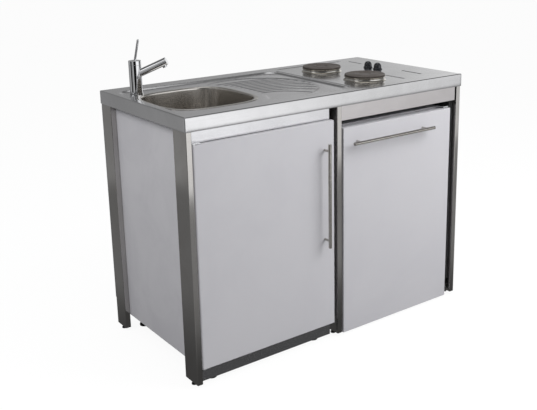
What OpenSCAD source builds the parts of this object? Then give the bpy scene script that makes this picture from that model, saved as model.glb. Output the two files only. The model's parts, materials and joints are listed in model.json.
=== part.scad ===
// Kitchenette unit: a stainless worktop with a sink, a draining board and two
// hot plates, carried on six flat tube legs. A cabinet with one door hangs
// under the sink and a small refrigerator stands under the hot plates.
// Lengths are millimetres. +X is to the right, +Y to the back, +Z up. Every
// piece is drawn from the worktop's front left corner, above the floor, and
// unit() moves it so that the origin is the middle of the whole footprint.

/* [Worktop] */
// Width of the worktop
top_w = 1200; // [1190:1:1300]
// Depth of the worktop
top_d = 600; // [590:1:660]
// Height of the worktop above the floor
top_h = 900; // [880:1:950]
// Height of the folded edge
edge_h = 47; // [42:1:60]
// Thickness of the worktop sheet
sheet = 1.5; // [1:0.1:2]
// Radius of the bend along the edge
edge_r = 4; // [3:0.5:8]
// Width of the return that is folded in under the edge
return_w = 12; // [10:1:16]

/* [Basin] */
// Bare rim left and right of the pressed basin field
field_rim = 22; // [15:1:30]
// Rim in front of the basin field
field_front_rim = 45; // [40:1:60]
// Rim behind the basin field
field_rear_rim = 64; // [60:1:90]
// Length of the basin field
field_w = 678; // [640:1:690]
// Depth of the basin field below the rim
field_depth = 5.5; // [2:0.5:8]
// Corner radius of the basin field
field_r = 55; // [30:1:60]
// Middle of the bowl from the worktop's left edge
bowl_x = 206; // [200:1:215]
// Middle of the bowl from the worktop's front edge
bowl_y = 276; // [270:1:285]
// Width of the bowl
bowl_w = 332; // [300:1:335]
// Length of the bowl, front to back
bowl_l = 344; // [320:1:350]
// Depth of the bowl
bowl_depth = 155; // [130:1:170]
// Exponent that squares the bowl's outline
bowl_power = 3.4; // [2.5:0.1:5]
// Thickness of the bowl's sheet
bowl_sheet = 1.5; // [1:0.1:2]
// Width of the flange that is welded under the worktop
bowl_flange = 7; // [5:1:8]
// Radius of the waste hole
waste_r = 40; // [30:1:50]

/* [Draining board] */
// Middle of the round end from the worktop's left edge
drain_x = 468; // [460:1:475]
// Middle of the round end from the worktop's front edge
drain_y = 290; // [285:1:300]
// Radius of the round end
drain_r = 214; // [190:1:220]
// Depth of the draining board below the basin field
drain_depth = 2; // [1:0.5:3]
// Flat left between the bowl and the draining board
drain_gap = 42; // [30:1:50]
// Distance between two ribs
rib_pitch = 26; // [20:1:34]
// Radius of the round groove between two ribs
rib_r = 9; // [7:0.5:12]
// Depth of the groove
rib_depth = 2.5; // [1.5:0.5:4]

/* [Hob] */
// Middle of the plates from the worktop's right edge
plate_x = 360; // [345:1:380]
// Middle of the front plate from the worktop's front edge
plate_front_y = 147; // [140:1:160]
// Middle of the rear plate from the worktop's front edge
plate_rear_y = 400; // [380:1:420]
// Radius of a hot plate
plate_r = 74; // [70:0.5:80]
// Thickness of a hot plate at its rim
plate_t = 10; // [8:0.5:14]
// Height of a plate's top above the worktop
plate_rise = 22; // [20:0.5:28]
// Knobs' line from the worktop's right edge
knob_x = 166; // [155:1:180]
// Front knob from the worktop's front edge
knob_y = 290; // [280:1:300]
// Distance between the knobs
knob_pitch = 56; // [50:1:60]
// Radius of a knob's skirt
knob_r = 18.5; // [17:0.5:24]
// Height of a knob
knob_h = 26; // [22:0.5:32]
// Radius of a switch shaft
shaft_r = 3; // [2.5:0.25:4]
// Running clearance of a shaft in its bush
run = 0.05; // [0.02:0.01:0.08]
// Depth of the pan under the plates
pan_h = 47; // [44:1:50]

/* [Tap] */
// Middle of the tap from the worktop's left edge
tap_x = 71; // [69:1:74]
// Middle of the tap from the worktop's front edge
tap_y = 454; // [450:1:460]
// Radius of the tap's body
tap_r = 21.5; // [20:0.5:22]
// Height of the tap's body
tap_h = 119.5; // [105:0.5:130]
// Height of the base ring
tap_ring_h = 8; // [6:0.5:10]
// Height of the turning cap
tap_cap_h = 15; // [12:0.5:18]
// Direction of the spout, about the tap's axis
spout_turn = -40; // [-60:1:-20]
// Rise of the spout
spout_rise = 24; // [15:1:35]
// Length of the spout from the tap's axis
spout_l = 120; // [100:1:150]
// Radius of the spout
spout_r = 13; // [11:0.5:14]
// Height of the spout's root above the worktop
spout_z = 69.5; // [60:0.5:75]
// Length of the lever
lever_l = 79; // [60:1:90]
// Lean of the lever at rest
lever_lean = 12; // [0:1:20]

/* [Frame] */
// Thickness of a leg tube
leg_t = 20; // [18:1:25]
// Depth of a front leg tube
front_leg_d = 80; // [60:1:90]
// Depth of a rear leg tube
rear_leg_d = 70; // [60:1:90]
// Wall of the tubes
tube_wall = 2; // [1.5:0.5:3]
// Worktop's overhang past the legs
overhang = 3; // [2:0.5:6]
// Gap between the floor and the tubes
leg_lift = 12; // [11:0.5:20]
// Radius of a levelling foot
foot_r = 9.5; // [8:0.5:10]
// Radius of the screws that hold the frame
bolt_r = 4; // [3:0.5:5]

/* [Cabinet] */
// Distance between the cabinet and the middle legs
spacer_l = 20; // [15:1:30]
// Height of the cabinet's underside above the floor
cabinet_z = 64; // [60:1:90]
// Set-back of the cabinet behind the worktop's front edge
cabinet_front = 24; // [23:0.5:30]
// Thickness of the folded sheet panels
panel_t = 16; // [14:1:20]
// Thickness of the panels' sheet
panel_sheet = 1.5; // [1:0.1:2]
// Thickness of the back panel
back_t = 2; // [1:0.5:4]
// Height of the back panel's lower edge
back_z = 115; // [100:1:140]
// Lower edge of the plinth above the floor
plinth_z = 10; // [8:1:20]

/* [Cabinet door] */
// Height of the door's lower edge above the floor
door_z = 62; // [58:1:64]
// Height of the door
door_h = 748; // [700:1:750]
// Thickness of the door
door_t = 18.5; // [17:0.5:18.5]
// Gap between the door and the left leg
door_gap = 0.5; // [0.4:0.1:2]
// Distance of the pivot from the door's edge and from its face
pivot_in = 7; // [6:0.5:7.5]
// Radius of a pivot pin
pin_r = 3; // [2.5:0.25:4]
// Reach of the handles in front of the doors
handle_reach = 35; // [30:1:45]
// Radius of the handle bars
handle_r = 6; // [5:0.5:8]
// Length of the cabinet door's handle
handle_l = 370; // [340:1:420]
// Distance between the two posts of a handle
handle_posts = 320; // [200:1:330]
// Distance of the handle from the door's right edge
handle_in = 41; // [25:1:60]
// Distance from the door's top edge to the middle of its handle
handle_drop = 258; // [230:1:300]

/* [Refrigerator] */
// Width of the refrigerator; the cabinet takes what is left beside it
fridge_w = 530; // [480:1:600]
// Gap between the middle leg and the refrigerator
fridge_gap = 7; // [5:0.5:12]
// Gap between the refrigerator and the right panel
fridge_side_gap = 14; // [10:1:30]
// Height of the refrigerator
fridge_h = 778; // [760:1:782]
// Depth of the refrigerator's body
fridge_d = 500; // [480:1:505]
// Thickness of the foamed walls
wall = 34; // [28:1:40]
// Thickness of the plastic liners
liner = 2; // [1.5:0.5:3]
// Thickness of the refrigerator's door
fridge_door_t = 37; // [33:1:45]
// Thickness of the door gasket
gasket_t = 8; // [6:0.5:12]
// Height of the refrigerator door's lower edge
fridge_door_z = 8; // [6:1:20]
// Distance from the top of the door to the top of the body
fridge_top_step = 4; // [3:0.5:8]
// Distance of the hinge axis from the door's right edge
hinge_in = 15; // [13:0.5:20]
// Length of the refrigerator's handle
fridge_handle_l = 390; // [340:1:420]
// Distance from the door's top edge to its handle
fridge_handle_drop = 54; // [40:1:80]
// Height of the compressor's recess
niche_h = 190; // [170:1:210]
// Depth of the compressor's recess
niche_d = 150; // [130:1:170]

/* [Hidden] */
$fn = 48;

function sgn_pow(v, p) = sign(v) * pow(abs(v), p);
// Points of a squared oval of half sizes a and b about the bowl's middle
function oval(a, b, n = 72) = [for (i = [0 : n - 1]) let (t = 360 * i / n)
    [bowl_x + a * sgn_pow(cos(t), 2 / bowl_power),
     bowl_y + b * sgn_pow(sin(t), 2 / bowl_power)]];

// Heights
under_edge = top_h - edge_h;
rail_z = under_edge + sheet;
field_z = top_h - field_depth;
rail_top = field_z - drain_depth - rib_depth - sheet;
rail_h = rail_top - rail_z;
leg_top = under_edge;

// Frame lines along X
left_x = overhang;
right_x = top_w - overhang - leg_t;
mid_x = right_x - panel_t - fridge_side_gap - fridge_w - fridge_gap - leg_t;
cabinet_w = mid_x - spacer_l - left_x - leg_t;
leg_xs = [left_x, mid_x, right_x];
front_y = overhang;
back_gap = 2;
rear_y = top_d - back_gap - back_t;
rear_leg_y = rear_y - rear_leg_d;

// Cabinet
cab_x0 = left_x + leg_t;
cab_x1 = cab_x0 + cabinet_w;
cab_top = leg_top - 3;
floor_top = cabinet_z + panel_t;
door_x = cab_x0 + door_gap;
door_w = cabinet_w + 3.5;
door_y = front_y;
door_top = door_z + door_h;
pivot_x = door_x + pivot_in;
pivot_y = door_y + pivot_in;
bracket_t = 2;
bracket_gap = 1;
front_rail_z = door_top + bracket_gap;
pivot_gap = 0.1;
seat_gap = 0.3;

// Refrigerator
fr_x0 = mid_x + leg_t + fridge_gap;
fr_x1 = fr_x0 + fridge_w;
fr_door_y = front_y;
fr_y0 = fr_door_y + fridge_door_t + gasket_t;
fr_y1 = fr_y0 + fridge_d;
base_z0 = 22;
base_z1 = 50;
cover_t = 16;
fr_body_top = fridge_h - cover_t;
fr_door_top = fridge_h - fridge_top_step;
cave_x0 = fr_x0 + wall;
cave_x1 = fr_x1 - wall;
cave_z0 = base_z1 + wall;
cave_z1 = fr_body_top - wall;
cave_y1 = fr_y1 - wall;
hinge_x = fr_x1 - hinge_in;
hinge_y = fr_door_y + fridge_door_t / 2;

// The footprint's middle: the handles reach out in front of the worktop
front_reach = front_y - handle_reach;
module unit() translate([-top_w / 2, -(front_reach + top_d) / 2, 0]) children();

// ---------- shared shapes ----------
// Rectangle with four round corners
module round_rect(w, d, r) {
    translate([r, 0]) square([w - 2 * r, d]);
    translate([0, r]) square([w, d - 2 * r]);
    for (x = [r, w - r], y = [r, d - r]) translate([x, y]) circle(r);
}
// Block with its least corner at p
module block(p, s) translate(p) cube(s);
// Upright cylinder from z to z + h
module post(x, y, z, r, h) translate([x, y, z]) cylinder(r = r, h = h);
// Cylinder along X
module bar_x(p, r, l) translate(p) rotate([0, 90, 0]) cylinder(r = r, h = l);
// Cylinder along Y
module bar_y(p, r, l) translate(p) rotate([-90, 0, 0]) cylinder(r = r, h = l);
// Square tube with rounded edges: outline s, wall w, length l along Z
module tube(sx, sy, l, w, r = 2) {
    difference() {
        linear_extrude(l) round_rect(sx, sy, r);
        translate([w, w, -1]) cube([sx - 2 * w, sy - 2 * w, l + 2]);
    }
}
// Folded panel: a box of size s, open on one side, which dir names
module folded(s, t, dir) {
    open = [for (i = [0 : 2]) abs(dir[i]) * (t + 1)];
    lo = [for (i = [0 : 2]) dir[i] < 0 ? -1 : t];
    difference() {
        cube(s);
        translate(lo) cube([for (i = [0 : 2]) s[i] - 2 * t + open[i]]);
    }
}

// ---------- worktop and basin ----------
steel = [0.72, 0.72, 0.70];
// Solid worktop block with bent edges, shrunk by o and reaching low below
module edge_block(o, low) {
    r = edge_r - o;
    module side(l) {
        translate([o, -low]) square([l - 2 * o, edge_h - r - o + low]);
        translate([o + r, 0]) square([l - 2 * o - 2 * r, edge_h - o]);
        for (x = [o + r, l - o - r]) translate([x, edge_h - o - r]) circle(r);
    }
    translate([0, 0, under_edge]) intersection() {
        translate([0, top_d, 0]) rotate([90, 0, 0]) linear_extrude(top_d) side(top_w);
        rotate([90, 0, 90]) linear_extrude(top_w) side(top_d);
    }
}
field_l = top_d - field_front_rim - field_rear_rim;
drain_z = field_z - drain_depth;
rib_margin = 14;
rib_y0 = bowl_y - 110;
rib_count = floor((drain_y + drain_r - 30 - rib_y0) / rib_pitch);
// Left and right end of the groove at y: beside the bowl and inside the arc
function bowl_side(y, out) = bowl_x + (bowl_w / 2 + out)
    * pow(max(0, 1 - pow(abs(y - bowl_y) / (bowl_l / 2 + out), bowl_power)), 1 / bowl_power);
function rib_left(y) = max(bowl_side(y, drain_gap + rib_margin),
    bowl_x + bowl_w / 2 + drain_gap + rib_margin + 1.1 * (bowl_y - 60 - y));
function rib_right(y) = drain_x
    + sqrt(max(0, pow(drain_r - rib_margin, 2) - pow(y - drain_y, 2)));
// Groove with round ends along X or Y, cut deep below z by a cylinder r
module groove_x(x0, x1, y, z, r, deep) {
    bar_x([x0, y, z + r - deep], r, x1 - x0);
    for (x = [x0, x1]) translate([x, y, z + r - deep]) sphere(r);
}
module groove_y(x, y0, y1, z, r, deep) {
    bar_y([x, y0, z + r - deep], r, y1 - y0);
    for (y = [y0, y1]) translate([x, y, z + r - deep]) sphere(r);
}
// Beads that stiffen the hob, from the worktop's right and rear edges
bead_r = 7;
bead_depth = 2;
bead_left = top_w - 492;
bead_right = top_w - 117;
bead_inner = top_w - 238;
bead_rear = top_d - 51;
bead_end = 30;
module beads(o) {
    r = bead_r + o;
    d = bead_depth + o;
    groove_y(bead_left, 85, bead_rear - bead_end, top_h, r, d);
    groove_x(bead_left + bead_end, bead_right - bead_end, bead_rear, top_h, r, d);
    groove_y(bead_right, 104, 200, top_h, r, d);
    groove_y(bead_right, bead_rear - 100, bead_rear - bead_end, top_h, r, d);
    groove_y(bead_inner, 70, 165, top_h, r, d);
}
// Everything that is pressed into the sheet, grown by o
module pressings(o) {
    translate([field_rim - o, field_front_rim - o, field_z - o])
        linear_extrude(field_depth + o + 1)
            round_rect(field_w + 2 * o, field_l + 2 * o, field_r + o);
    translate([0, 0, drain_z - o]) linear_extrude(drain_depth + o + 1) difference() {
        intersection() {
            translate([drain_x, drain_y]) circle(drain_r + o);
            translate([0, field_front_rim + rib_margin - o])
                square([top_w, field_l - 2 * rib_margin + 2 * o]);
        }
        polygon(oval(bowl_w / 2 + drain_gap - o, bowl_l / 2 + drain_gap - o));
    }
    for (i = [0 : rib_count]) let (y = rib_y0 + i * rib_pitch)
        groove_x(rib_left(y), rib_right(y), y, drain_z, rib_r + o, rib_depth + o);
    beads(o);
}
plate_cx = top_w - plate_x;
plate_ys = [plate_front_y, plate_rear_y];
plate_hole_r = plate_r - 12;
knob_cx = top_w - knob_x;
knob_ys = [knob_y, knob_y + knob_pitch];
bush_r = shaft_r + 2.5;
hole_gap = 0.5;
shank_r = 13;
bolt_ys = [front_y + front_leg_d / 2, rear_leg_y + rear_leg_d / 2];
module worktop() color(steel) unit() difference() {
    union() {
        difference() {
            edge_block(0, 0);
            pressings(0);
            difference() {
                edge_block(sheet, 1);
                pressings(sheet);
            }
        }
        difference() {
            block([sheet, sheet, under_edge], [top_w - 2 * sheet, top_d - 2 * sheet, sheet]);
            block([return_w, return_w, under_edge - 1],
                [top_w - 2 * return_w, top_d - 2 * return_w, sheet + 2]);
        }
    }
    translate([0, 0, field_z - sheet - 1]) linear_extrude(sheet + 2)
        polygon(oval(bowl_w / 2, bowl_l / 2));
    post(tap_x, tap_y, field_z - sheet - 1, shank_r + hole_gap, sheet + 2);
    for (y = plate_ys) post(plate_cx, y, top_h - sheet - 1, plate_hole_r, sheet + 2);
    for (y = knob_ys) post(knob_cx, y, top_h - sheet - 1, bush_r + hole_gap, sheet + 2);
    for (x = leg_xs, y = bolt_ys)
        post(x + leg_t / 2, y, under_edge - 1, bolt_r + hole_gap, sheet + 2);
}

// Solid of the drawn bowl, grown by o: an oval mouth, walls that lean in by
// bowl_draft and a round corner bowl_corner at the bottom
bowl_draft = 8;
bowl_corner = 42;
bowl_mouth_z = field_z - sheet;
bowl_bottom_z = bowl_mouth_z - bowl_depth;
module oval_slice(z, half_w, half_l) translate([0, 0, z]) linear_extrude(0.1)
    polygon(oval(half_w, half_l, 48));
module bowl_form(o) hull() {
    oval_slice(bowl_mouth_z, bowl_w / 2 + o, bowl_l / 2 + o);
    for (i = [0 : 6]) let (a = 15 * i, in = bowl_draft + bowl_corner * (1 - cos(a)) - o)
        oval_slice(bowl_bottom_z + bowl_corner * (1 - sin(a)) - o, bowl_w / 2 - in, bowl_l / 2 - in);
}
module sink_bowl() color(steel) unit() difference() {
    union() {
        intersection() {
            bowl_form(bowl_sheet);
            block([0, 0, 0], [top_w, top_d, bowl_mouth_z]);
        }
        translate([0, 0, bowl_mouth_z - bowl_sheet]) linear_extrude(bowl_sheet)
            polygon(oval(bowl_w / 2 + bowl_flange, bowl_l / 2 + bowl_flange));
    }
    bowl_form(0);
    post(bowl_x, bowl_y, bowl_bottom_z - 10, waste_r, 20);
}

// ---------- frame ----------
// Welded tube frame inside the folded edge
module top_frame() color([0.6, 0.6, 0.6]) unit() difference() {
    union() {
        for (x = leg_xs) translate([x, front_y, rail_z]) cube([leg_t, rear_y - front_y, rail_h]);
        for (y = [front_y, rear_y - leg_t]) translate([left_x, y, rail_z])
            cube([right_x + leg_t - left_x, leg_t, rail_h]);
    }
    for (x = leg_xs) translate([x + tube_wall, front_y - 1, rail_z + tube_wall])
        cube([leg_t - 2 * tube_wall, rear_y - front_y + 2, rail_h - 2 * tube_wall]);
    for (x = leg_xs, y = bolt_ys) post(x + leg_t / 2, y, rail_z - 1, bolt_r + hole_gap, tube_wall + 2);
}
leg_l = leg_top - leg_lift;
cap_t = 6;
screw_zs = [cabinet_z + 130, leg_top - 140];
// Leg tube at x and y with a welded top plate; holes take the panel screws
module leg(x, y, d, holes) difference() {
    translate([x, y, leg_lift]) {
        tube(leg_t, d, leg_l, tube_wall);
        block([tube_wall, tube_wall, leg_l - cap_t],
            [leg_t - 2 * tube_wall, d - 2 * tube_wall, cap_t]);
    }
    post(x + leg_t / 2, y + d / 2, leg_top - cap_t - 1, bolt_r, cap_t + 2);
    for (z = screw_zs) bar_x([holes, y + d / 2, z], bolt_r, 2 * tube_wall);
}
leg_hole_xs = [left_x + leg_t - tube_wall - 1, mid_x - 1, right_x - 1];
module front_legs() color(steel) unit()
    for (i = [0 : 2]) leg(leg_xs[i], front_y, front_leg_d, leg_hole_xs[i]);
module rear_legs() color(steel) unit()
    for (i = [0 : 2]) leg(leg_xs[i], rear_leg_y, rear_leg_d, leg_hole_xs[i]);
bolt_head_r = 6.5;
bolt_head_h = 5;
// Bolts that hold the legs under the frame
module leg_bolts() color("silver") unit() for (x = leg_xs, y = bolt_ys) {
    post(x + leg_t / 2, y, leg_top - cap_t, bolt_r, cap_t + sheet + tube_wall);
    translate([x + leg_t / 2, y, rail_z + tube_wall]) cylinder(r = bolt_head_r, h = bolt_head_h, $fn = 6);
}
plug_h = 25;
// Plastic plugs in the lower ends of the legs
module leg_plugs() color([0.1, 0.1, 0.1]) unit()
    for (x = leg_xs, i = [0, 1]) let (y = [front_y, rear_leg_y][i], d = [front_leg_d, rear_leg_d][i])
        difference() {
            block([x + tube_wall, y + tube_wall, leg_lift], [leg_t - 2 * tube_wall, d - 2 * tube_wall, plug_h]);
            post(x + leg_t / 2, y + d / 2, leg_lift - 1, bolt_r, plug_h + 2);
        }
pad_h = 4;
nut_h = 5;
// Feet on threaded studs, each with its lock nut under the tube
module levelling_feet() color([0.12, 0.12, 0.12]) unit() for (x = leg_xs, y = bolt_ys)
    translate([x + leg_t / 2, y, 0]) {
        cylinder(r = foot_r, h = pad_h);
        cylinder(r = bolt_r, h = leg_lift + plug_h - 2);
        translate([0, 0, leg_lift - nut_h]) cylinder(r = bolt_head_r, h = nut_h, $fn = 6);
    }

// ---------- cabinet ----------
paint = [0.80, 0.80, 0.82];
module screw_hole(x, y, z, l) bar_x([x, y, z], bolt_r + hole_gap, l);
// Upright panel with its least X at x and holes for the screws
module panel(x) difference() {
    block([x, cabinet_front, cabinet_z], [panel_t, rear_y - cabinet_front, cab_top - cabinet_z]);
    for (y = bolt_ys, z = screw_zs) screw_hole(x - 1, y, z, panel_t + 2);
}
module left_panel() color(paint) unit() panel(cab_x0);
module middle_panel() color(paint) unit() panel(cab_x1 - panel_t);
module right_panel() color(paint) unit() panel(right_x - panel_t);
in_x0 = cab_x0 + panel_t;
in_x1 = cab_x1 - panel_t;
module cabinet_floor() color(paint) unit()
    block([in_x0, cabinet_front, cabinet_z], [in_x1 - in_x0, rear_y - cabinet_front, panel_t]);
rail_depth = 30;
tab_x0 = in_x0 + 1;
tab_w = 14;
// Folded steel rail over the door, with a slot for the top pivot bracket
module cabinet_front_rail() color(steel) unit() difference() {
    union() {
        block([cab_x0, cabinet_front - panel_sheet, front_rail_z], [cabinet_w, panel_sheet, cab_top - front_rail_z]);
        for (z = [front_rail_z, cab_top - panel_sheet])
            block([in_x0, cabinet_front - panel_sheet, z], [in_x1 - in_x0, rail_depth, panel_sheet]);
    }
    block([tab_x0, cabinet_front - 5, front_rail_z + panel_sheet], [tab_w, 10, bracket_t]);
}
plinth_t = 12;
plinth_top = door_z - bracket_gap - bracket_t - 1;
// Kick board in front of the cabinet's feet
module plinth() color(steel) unit()
    block([cab_x0, cabinet_front, plinth_z], [cabinet_w, plinth_t, plinth_top - plinth_z]);
cabinet_foot_r = 15;
module cabinet_feet() color([0.1, 0.1, 0.1]) unit()
    for (x = [cab_x0 + 60, cab_x1 - 60], y = [cabinet_front + plinth_t + seat_gap + cabinet_foot_r, rear_y - 60]) {
        post(x, y, 0, cabinet_foot_r + 3, 6);
        post(x, y, 0, cabinet_foot_r, cabinet_z);
        post(x, y, plinth_top + bracket_gap, cabinet_foot_r + 12, cabinet_z - plinth_top - bracket_gap);
    }
trap_r = 20;
trap_bend = 42;
waste_drop = 50;
outlet_z = bowl_bottom_z - waste_drop - 75;
outlet_x = bowl_x + 2 * trap_bend;
module back_panel() color([0.62, 0.62, 0.61]) unit() difference() {
    block([left_x, rear_y, back_z], [mid_x + leg_t - left_x, back_t, cab_top - back_z]);
    bar_y([outlet_x, rear_y - 1, outlet_z], trap_r + 3, back_t + 2);
}
spacer_r = 10;
// Tubes that hold the middle legs off the cabinet
module spacer_tubes() color("silver") unit() for (y = bolt_ys, z = screw_zs) difference() {
    bar_x([cab_x1, y, z], spacer_r, spacer_l);
    screw_hole(cab_x1 - 1, y, z, spacer_l + 2);
}
// Screws through the panels into the legs, each with its head inside
module panel_screws() color("silver") unit() for (y = bolt_ys, z = screw_zs) {
    bar_x([left_x + leg_t - tube_wall, y, z], bolt_r, panel_t + tube_wall);
    bar_x([in_x0, y, z], bolt_head_r, 3);
    bar_x([in_x1, y, z], bolt_r, panel_t + spacer_l + tube_wall);
    bar_x([in_x1 - 3, y, z], bolt_head_r, 3);
    bar_x([right_x - panel_t, y, z], bolt_r, panel_t + tube_wall);
    bar_x([right_x - panel_t - 3, y, z], bolt_head_r, 3);
}

// ---------- waste ----------
cup_r = waste_r - 1;
cup_t = 2;
module sink_waste() color("silver") unit() translate([bowl_x, bowl_y, bowl_bottom_z]) difference() {
    union() {
        cylinder(r = waste_r + 9, h = 1.5);
        translate([0, 0, -waste_drop]) cylinder(r = cup_r, h = waste_drop + 1);
        translate([0, 0, -bowl_sheet - 7]) cylinder(r = waste_r + 6, h = 7);
        translate([0, 0, -waste_drop - 14]) cylinder(r = trap_r - 2, h = 15);
    }
    translate([0, 0, -waste_drop + cup_t]) cylinder(r = cup_r - cup_t, h = waste_drop + 10);
    translate([0, 0, -waste_drop - 20]) cylinder(r = trap_r - 4, h = 40);
}
basket_h = 26;
// Strainer basket that lifts out of the waste
module basket_plug() color("silver") unit() translate([bowl_x, bowl_y, bowl_bottom_z + 1.8]) {
    r = cup_r - cup_t - 1;
    difference() {
        union() {
            translate([0, 0, -basket_h]) cylinder(r1 = r - 6, r2 = r, h = basket_h);
            cylinder(r = r + 5, h = 1.5);
        }
        translate([0, 0, 1.5 - basket_h]) cylinder(r1 = r - 7.5, r2 = r - 1.5, h = basket_h + 1);
        for (a = [0 : 30 : 330]) rotate(a) post(0.6 * r, 0, -basket_h - 1, 2.5, 4);
    }
    post(0, 0, 0.5 - basket_h, 4, basket_h + 8);
    post(0, 0, 5, 9, 5);
}
// Pipe run of the trap with outer radius r
module trap_run(r, over) {
    z0 = bowl_bottom_z - waste_drop - 14;
    bend_z = z0 - 90;
    translate([bowl_x, bowl_y, 0]) {
        post(0, 0, bend_z, r, z0 + 12 - bend_z);
        translate([trap_bend, 0, bend_z]) rotate([90, 0, 0]) rotate_extrude(angle = -180) translate([trap_bend, 0]) circle(r);
        post(2 * trap_bend, 0, bend_z, r, outlet_z - bend_z);
        translate([2 * trap_bend, 0, outlet_z]) sphere(r);
        bar_y([2 * trap_bend, 0, outlet_z], r, rear_y + back_t - bowl_y + over);
    }
}
module waste_trap() color("white") unit() difference() {
    union() {
        trap_run(trap_r, 0);
        translate([bowl_x, bowl_y, bowl_bottom_z - waste_drop - 22]) cylinder(r = trap_r + 6, h = 20);
        post(outlet_x, bowl_y, outlet_z - 45, trap_r + 5, 18);
    }
    trap_run(trap_r - 2, 1);
}

// ---------- tap ----------
chrome = [0.85, 0.86, 0.88];
core_r = 15;
tap_z = field_z;
column_z = tap_z + tap_ring_h + 0.3;
column_top = tap_z + tap_h - tap_cap_h;
stem_r = 11;
stem_h = 2.5;
ball_r = 6.5;
ball_z = tap_z + tap_h - 5;
lever_r = 4;
module at_tap() unit() translate([tap_x, tap_y, 0]) children();
// Ring, core and threaded shank that stay on the worktop
module tap_base() color(chrome) at_tap() {
    post(0, 0, tap_z, tap_r + 2, tap_ring_h);
    post(0, 0, tap_z, core_r, tap_ring_h + 50);
    post(0, 0, tap_z - 45, shank_r, 46);
}
module along_spout() translate([0, 0, tap_z + spout_z]) rotate([0, 0, spout_turn])
    rotate([0, 90 - spout_rise, 0]) children();
aerator_r = 8;
aerator_in = 14;
// Turning column with the spout
module tap_column() color(chrome) at_tap() difference() {
    union() {
        post(0, 0, column_z, tap_r, column_top - column_z);
        post(0, 0, column_top - 1, stem_r, stem_h + 1);
        along_spout() cylinder(r = spout_r, h = spout_l);
    }
    post(0, 0, column_z - 1, core_r + run, tap_ring_h + 52 - (column_z - tap_z) + 1);
    along_spout() translate([0, 0, tap_r + 4]) cylinder(r = spout_r - 3, h = spout_l - tap_r - 7);
    along_spout() translate([0, 0, spout_l - aerator_in]) rotate([0, 90, 0]) cylinder(r = aerator_r, h = spout_r + 5);
}
module tap_aerator() color(chrome) at_tap() along_spout()
    translate([0, 0, spout_l - aerator_in]) rotate([0, 90, 0]) difference() {
        translate([0, 0, spout_r - 4]) cylinder(r = aerator_r, h = 9);
        translate([0, 0, spout_r + 1]) cylinder(r = aerator_r - 2, h = 10);
    }
// Cap on the cartridge stem; it turns for hot and cold
module tap_cap() color(chrome) at_tap() difference() {
    post(0, 0, column_top + 0.3, tap_r, tap_cap_h - 0.3);
    post(0, 0, column_top, stem_r + run, stem_h + seat_gap);
    translate([0, 0, ball_z]) sphere(ball_r + run);
    post(0, 0, ball_z, ball_r - 0.2, 20);
}
// Pin lever with its ball, leaning along the spout at rest
module tap_lever() color(chrome) at_tap() translate([0, 0, ball_z]) {
    sphere(ball_r);
    rotate([0, 0, spout_turn]) rotate([0, lever_lean, 0]) {
        cylinder(r = lever_r, h = lever_l - lever_r);
        translate([0, 0, lever_l - lever_r]) sphere(lever_r);
    }
}
// Nut under the worktop and the two supply tails
module tap_fixing() color("silver") at_tap() {
    difference() {
        translate([0, 0, tap_z - sheet - 8]) cylinder(r = shank_r + 6, h = 8, $fn = 6);
        post(0, 0, tap_z - sheet - 9, shank_r, 10);
    }
    for (x = [-6, 6]) post(x, 0, tap_z - 105, 4, 60);
}

// ---------- hob ----------
fascia_y = 7;
fascia_h = 52;
fascia_x0 = mid_x + leg_t + 2;
fascia_x1 = right_x - 5;
fascia_depth = 14;
// Folded steel front under the hob, hung from the worktop's return
module fascia() color(steel) unit() {
    block([fascia_x0, fascia_y, under_edge - fascia_h], [fascia_x1 - fascia_x0, panel_sheet, fascia_h]);
    for (z = [under_edge - fascia_h, under_edge - panel_sheet])
        block([fascia_x0, fascia_y, z], [fascia_x1 - fascia_x0, fascia_depth, panel_sheet]);
}
pan_x0 = mid_x + leg_t + 10;
pan_x1 = right_x - panel_t - 8;
pan_y0 = cabinet_front + 6;
pan_y1 = rear_y - leg_t - 8;
pan_z = under_edge - pan_h;
gland_r = 8;
gland_l = 30;
cable_r = 4;
gland_x = pan_x1 - 60;
gland_z = pan_z + 24;
// Sheet pan under the hot plates, hung from the frame by its flange
module hob_pan() color([0.65, 0.66, 0.66]) unit() difference() {
    union() {
        block([pan_x0, pan_y0, pan_z], [pan_x1 - pan_x0, pan_y1 - pan_y0, pan_h + sheet]);
        block([pan_x0, return_w + 1, under_edge], [pan_x1 - pan_x0, rear_y - 2 * return_w + 1, sheet]);
    }
    block([pan_x0 + 1, pan_y0 + 1, pan_z + 1], [pan_x1 - pan_x0 - 2, pan_y1 - pan_y0 - 2, pan_h + 5]);
    block([gland_x - gland_r - hole_gap, pan_y1 - 2, gland_z - gland_r - hole_gap],
        [2 * (gland_r + hole_gap), 4, 2 * (gland_r + hole_gap)]);
}
plate_top = top_h + plate_rise;
hub_r = plate_hole_r - 3;
hub_z = top_h - 14;
stud_r = 4;
module hot_plates() color([0.30, 0.29, 0.28]) unit() for (y = plate_ys) translate([plate_cx, y, 0]) {
    rotate_extrude() difference() {
        union() {
            translate([0, plate_top - plate_t]) square([plate_r, plate_t - 2]);
            translate([0, plate_top - plate_t]) square([plate_r - 2, plate_t]);
            translate([plate_r - 2, plate_top - 2]) circle(2);
            translate([0, hub_z]) square([hub_r, plate_top - plate_t - hub_z]);
        }
        translate([0, plate_top - 1.2]) square([22, 3]);
        translate([-10, hub_z - 10]) square([10, 100]);
    }
    post(0, 0, hub_z - 32, stud_r, 33);
}
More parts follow.
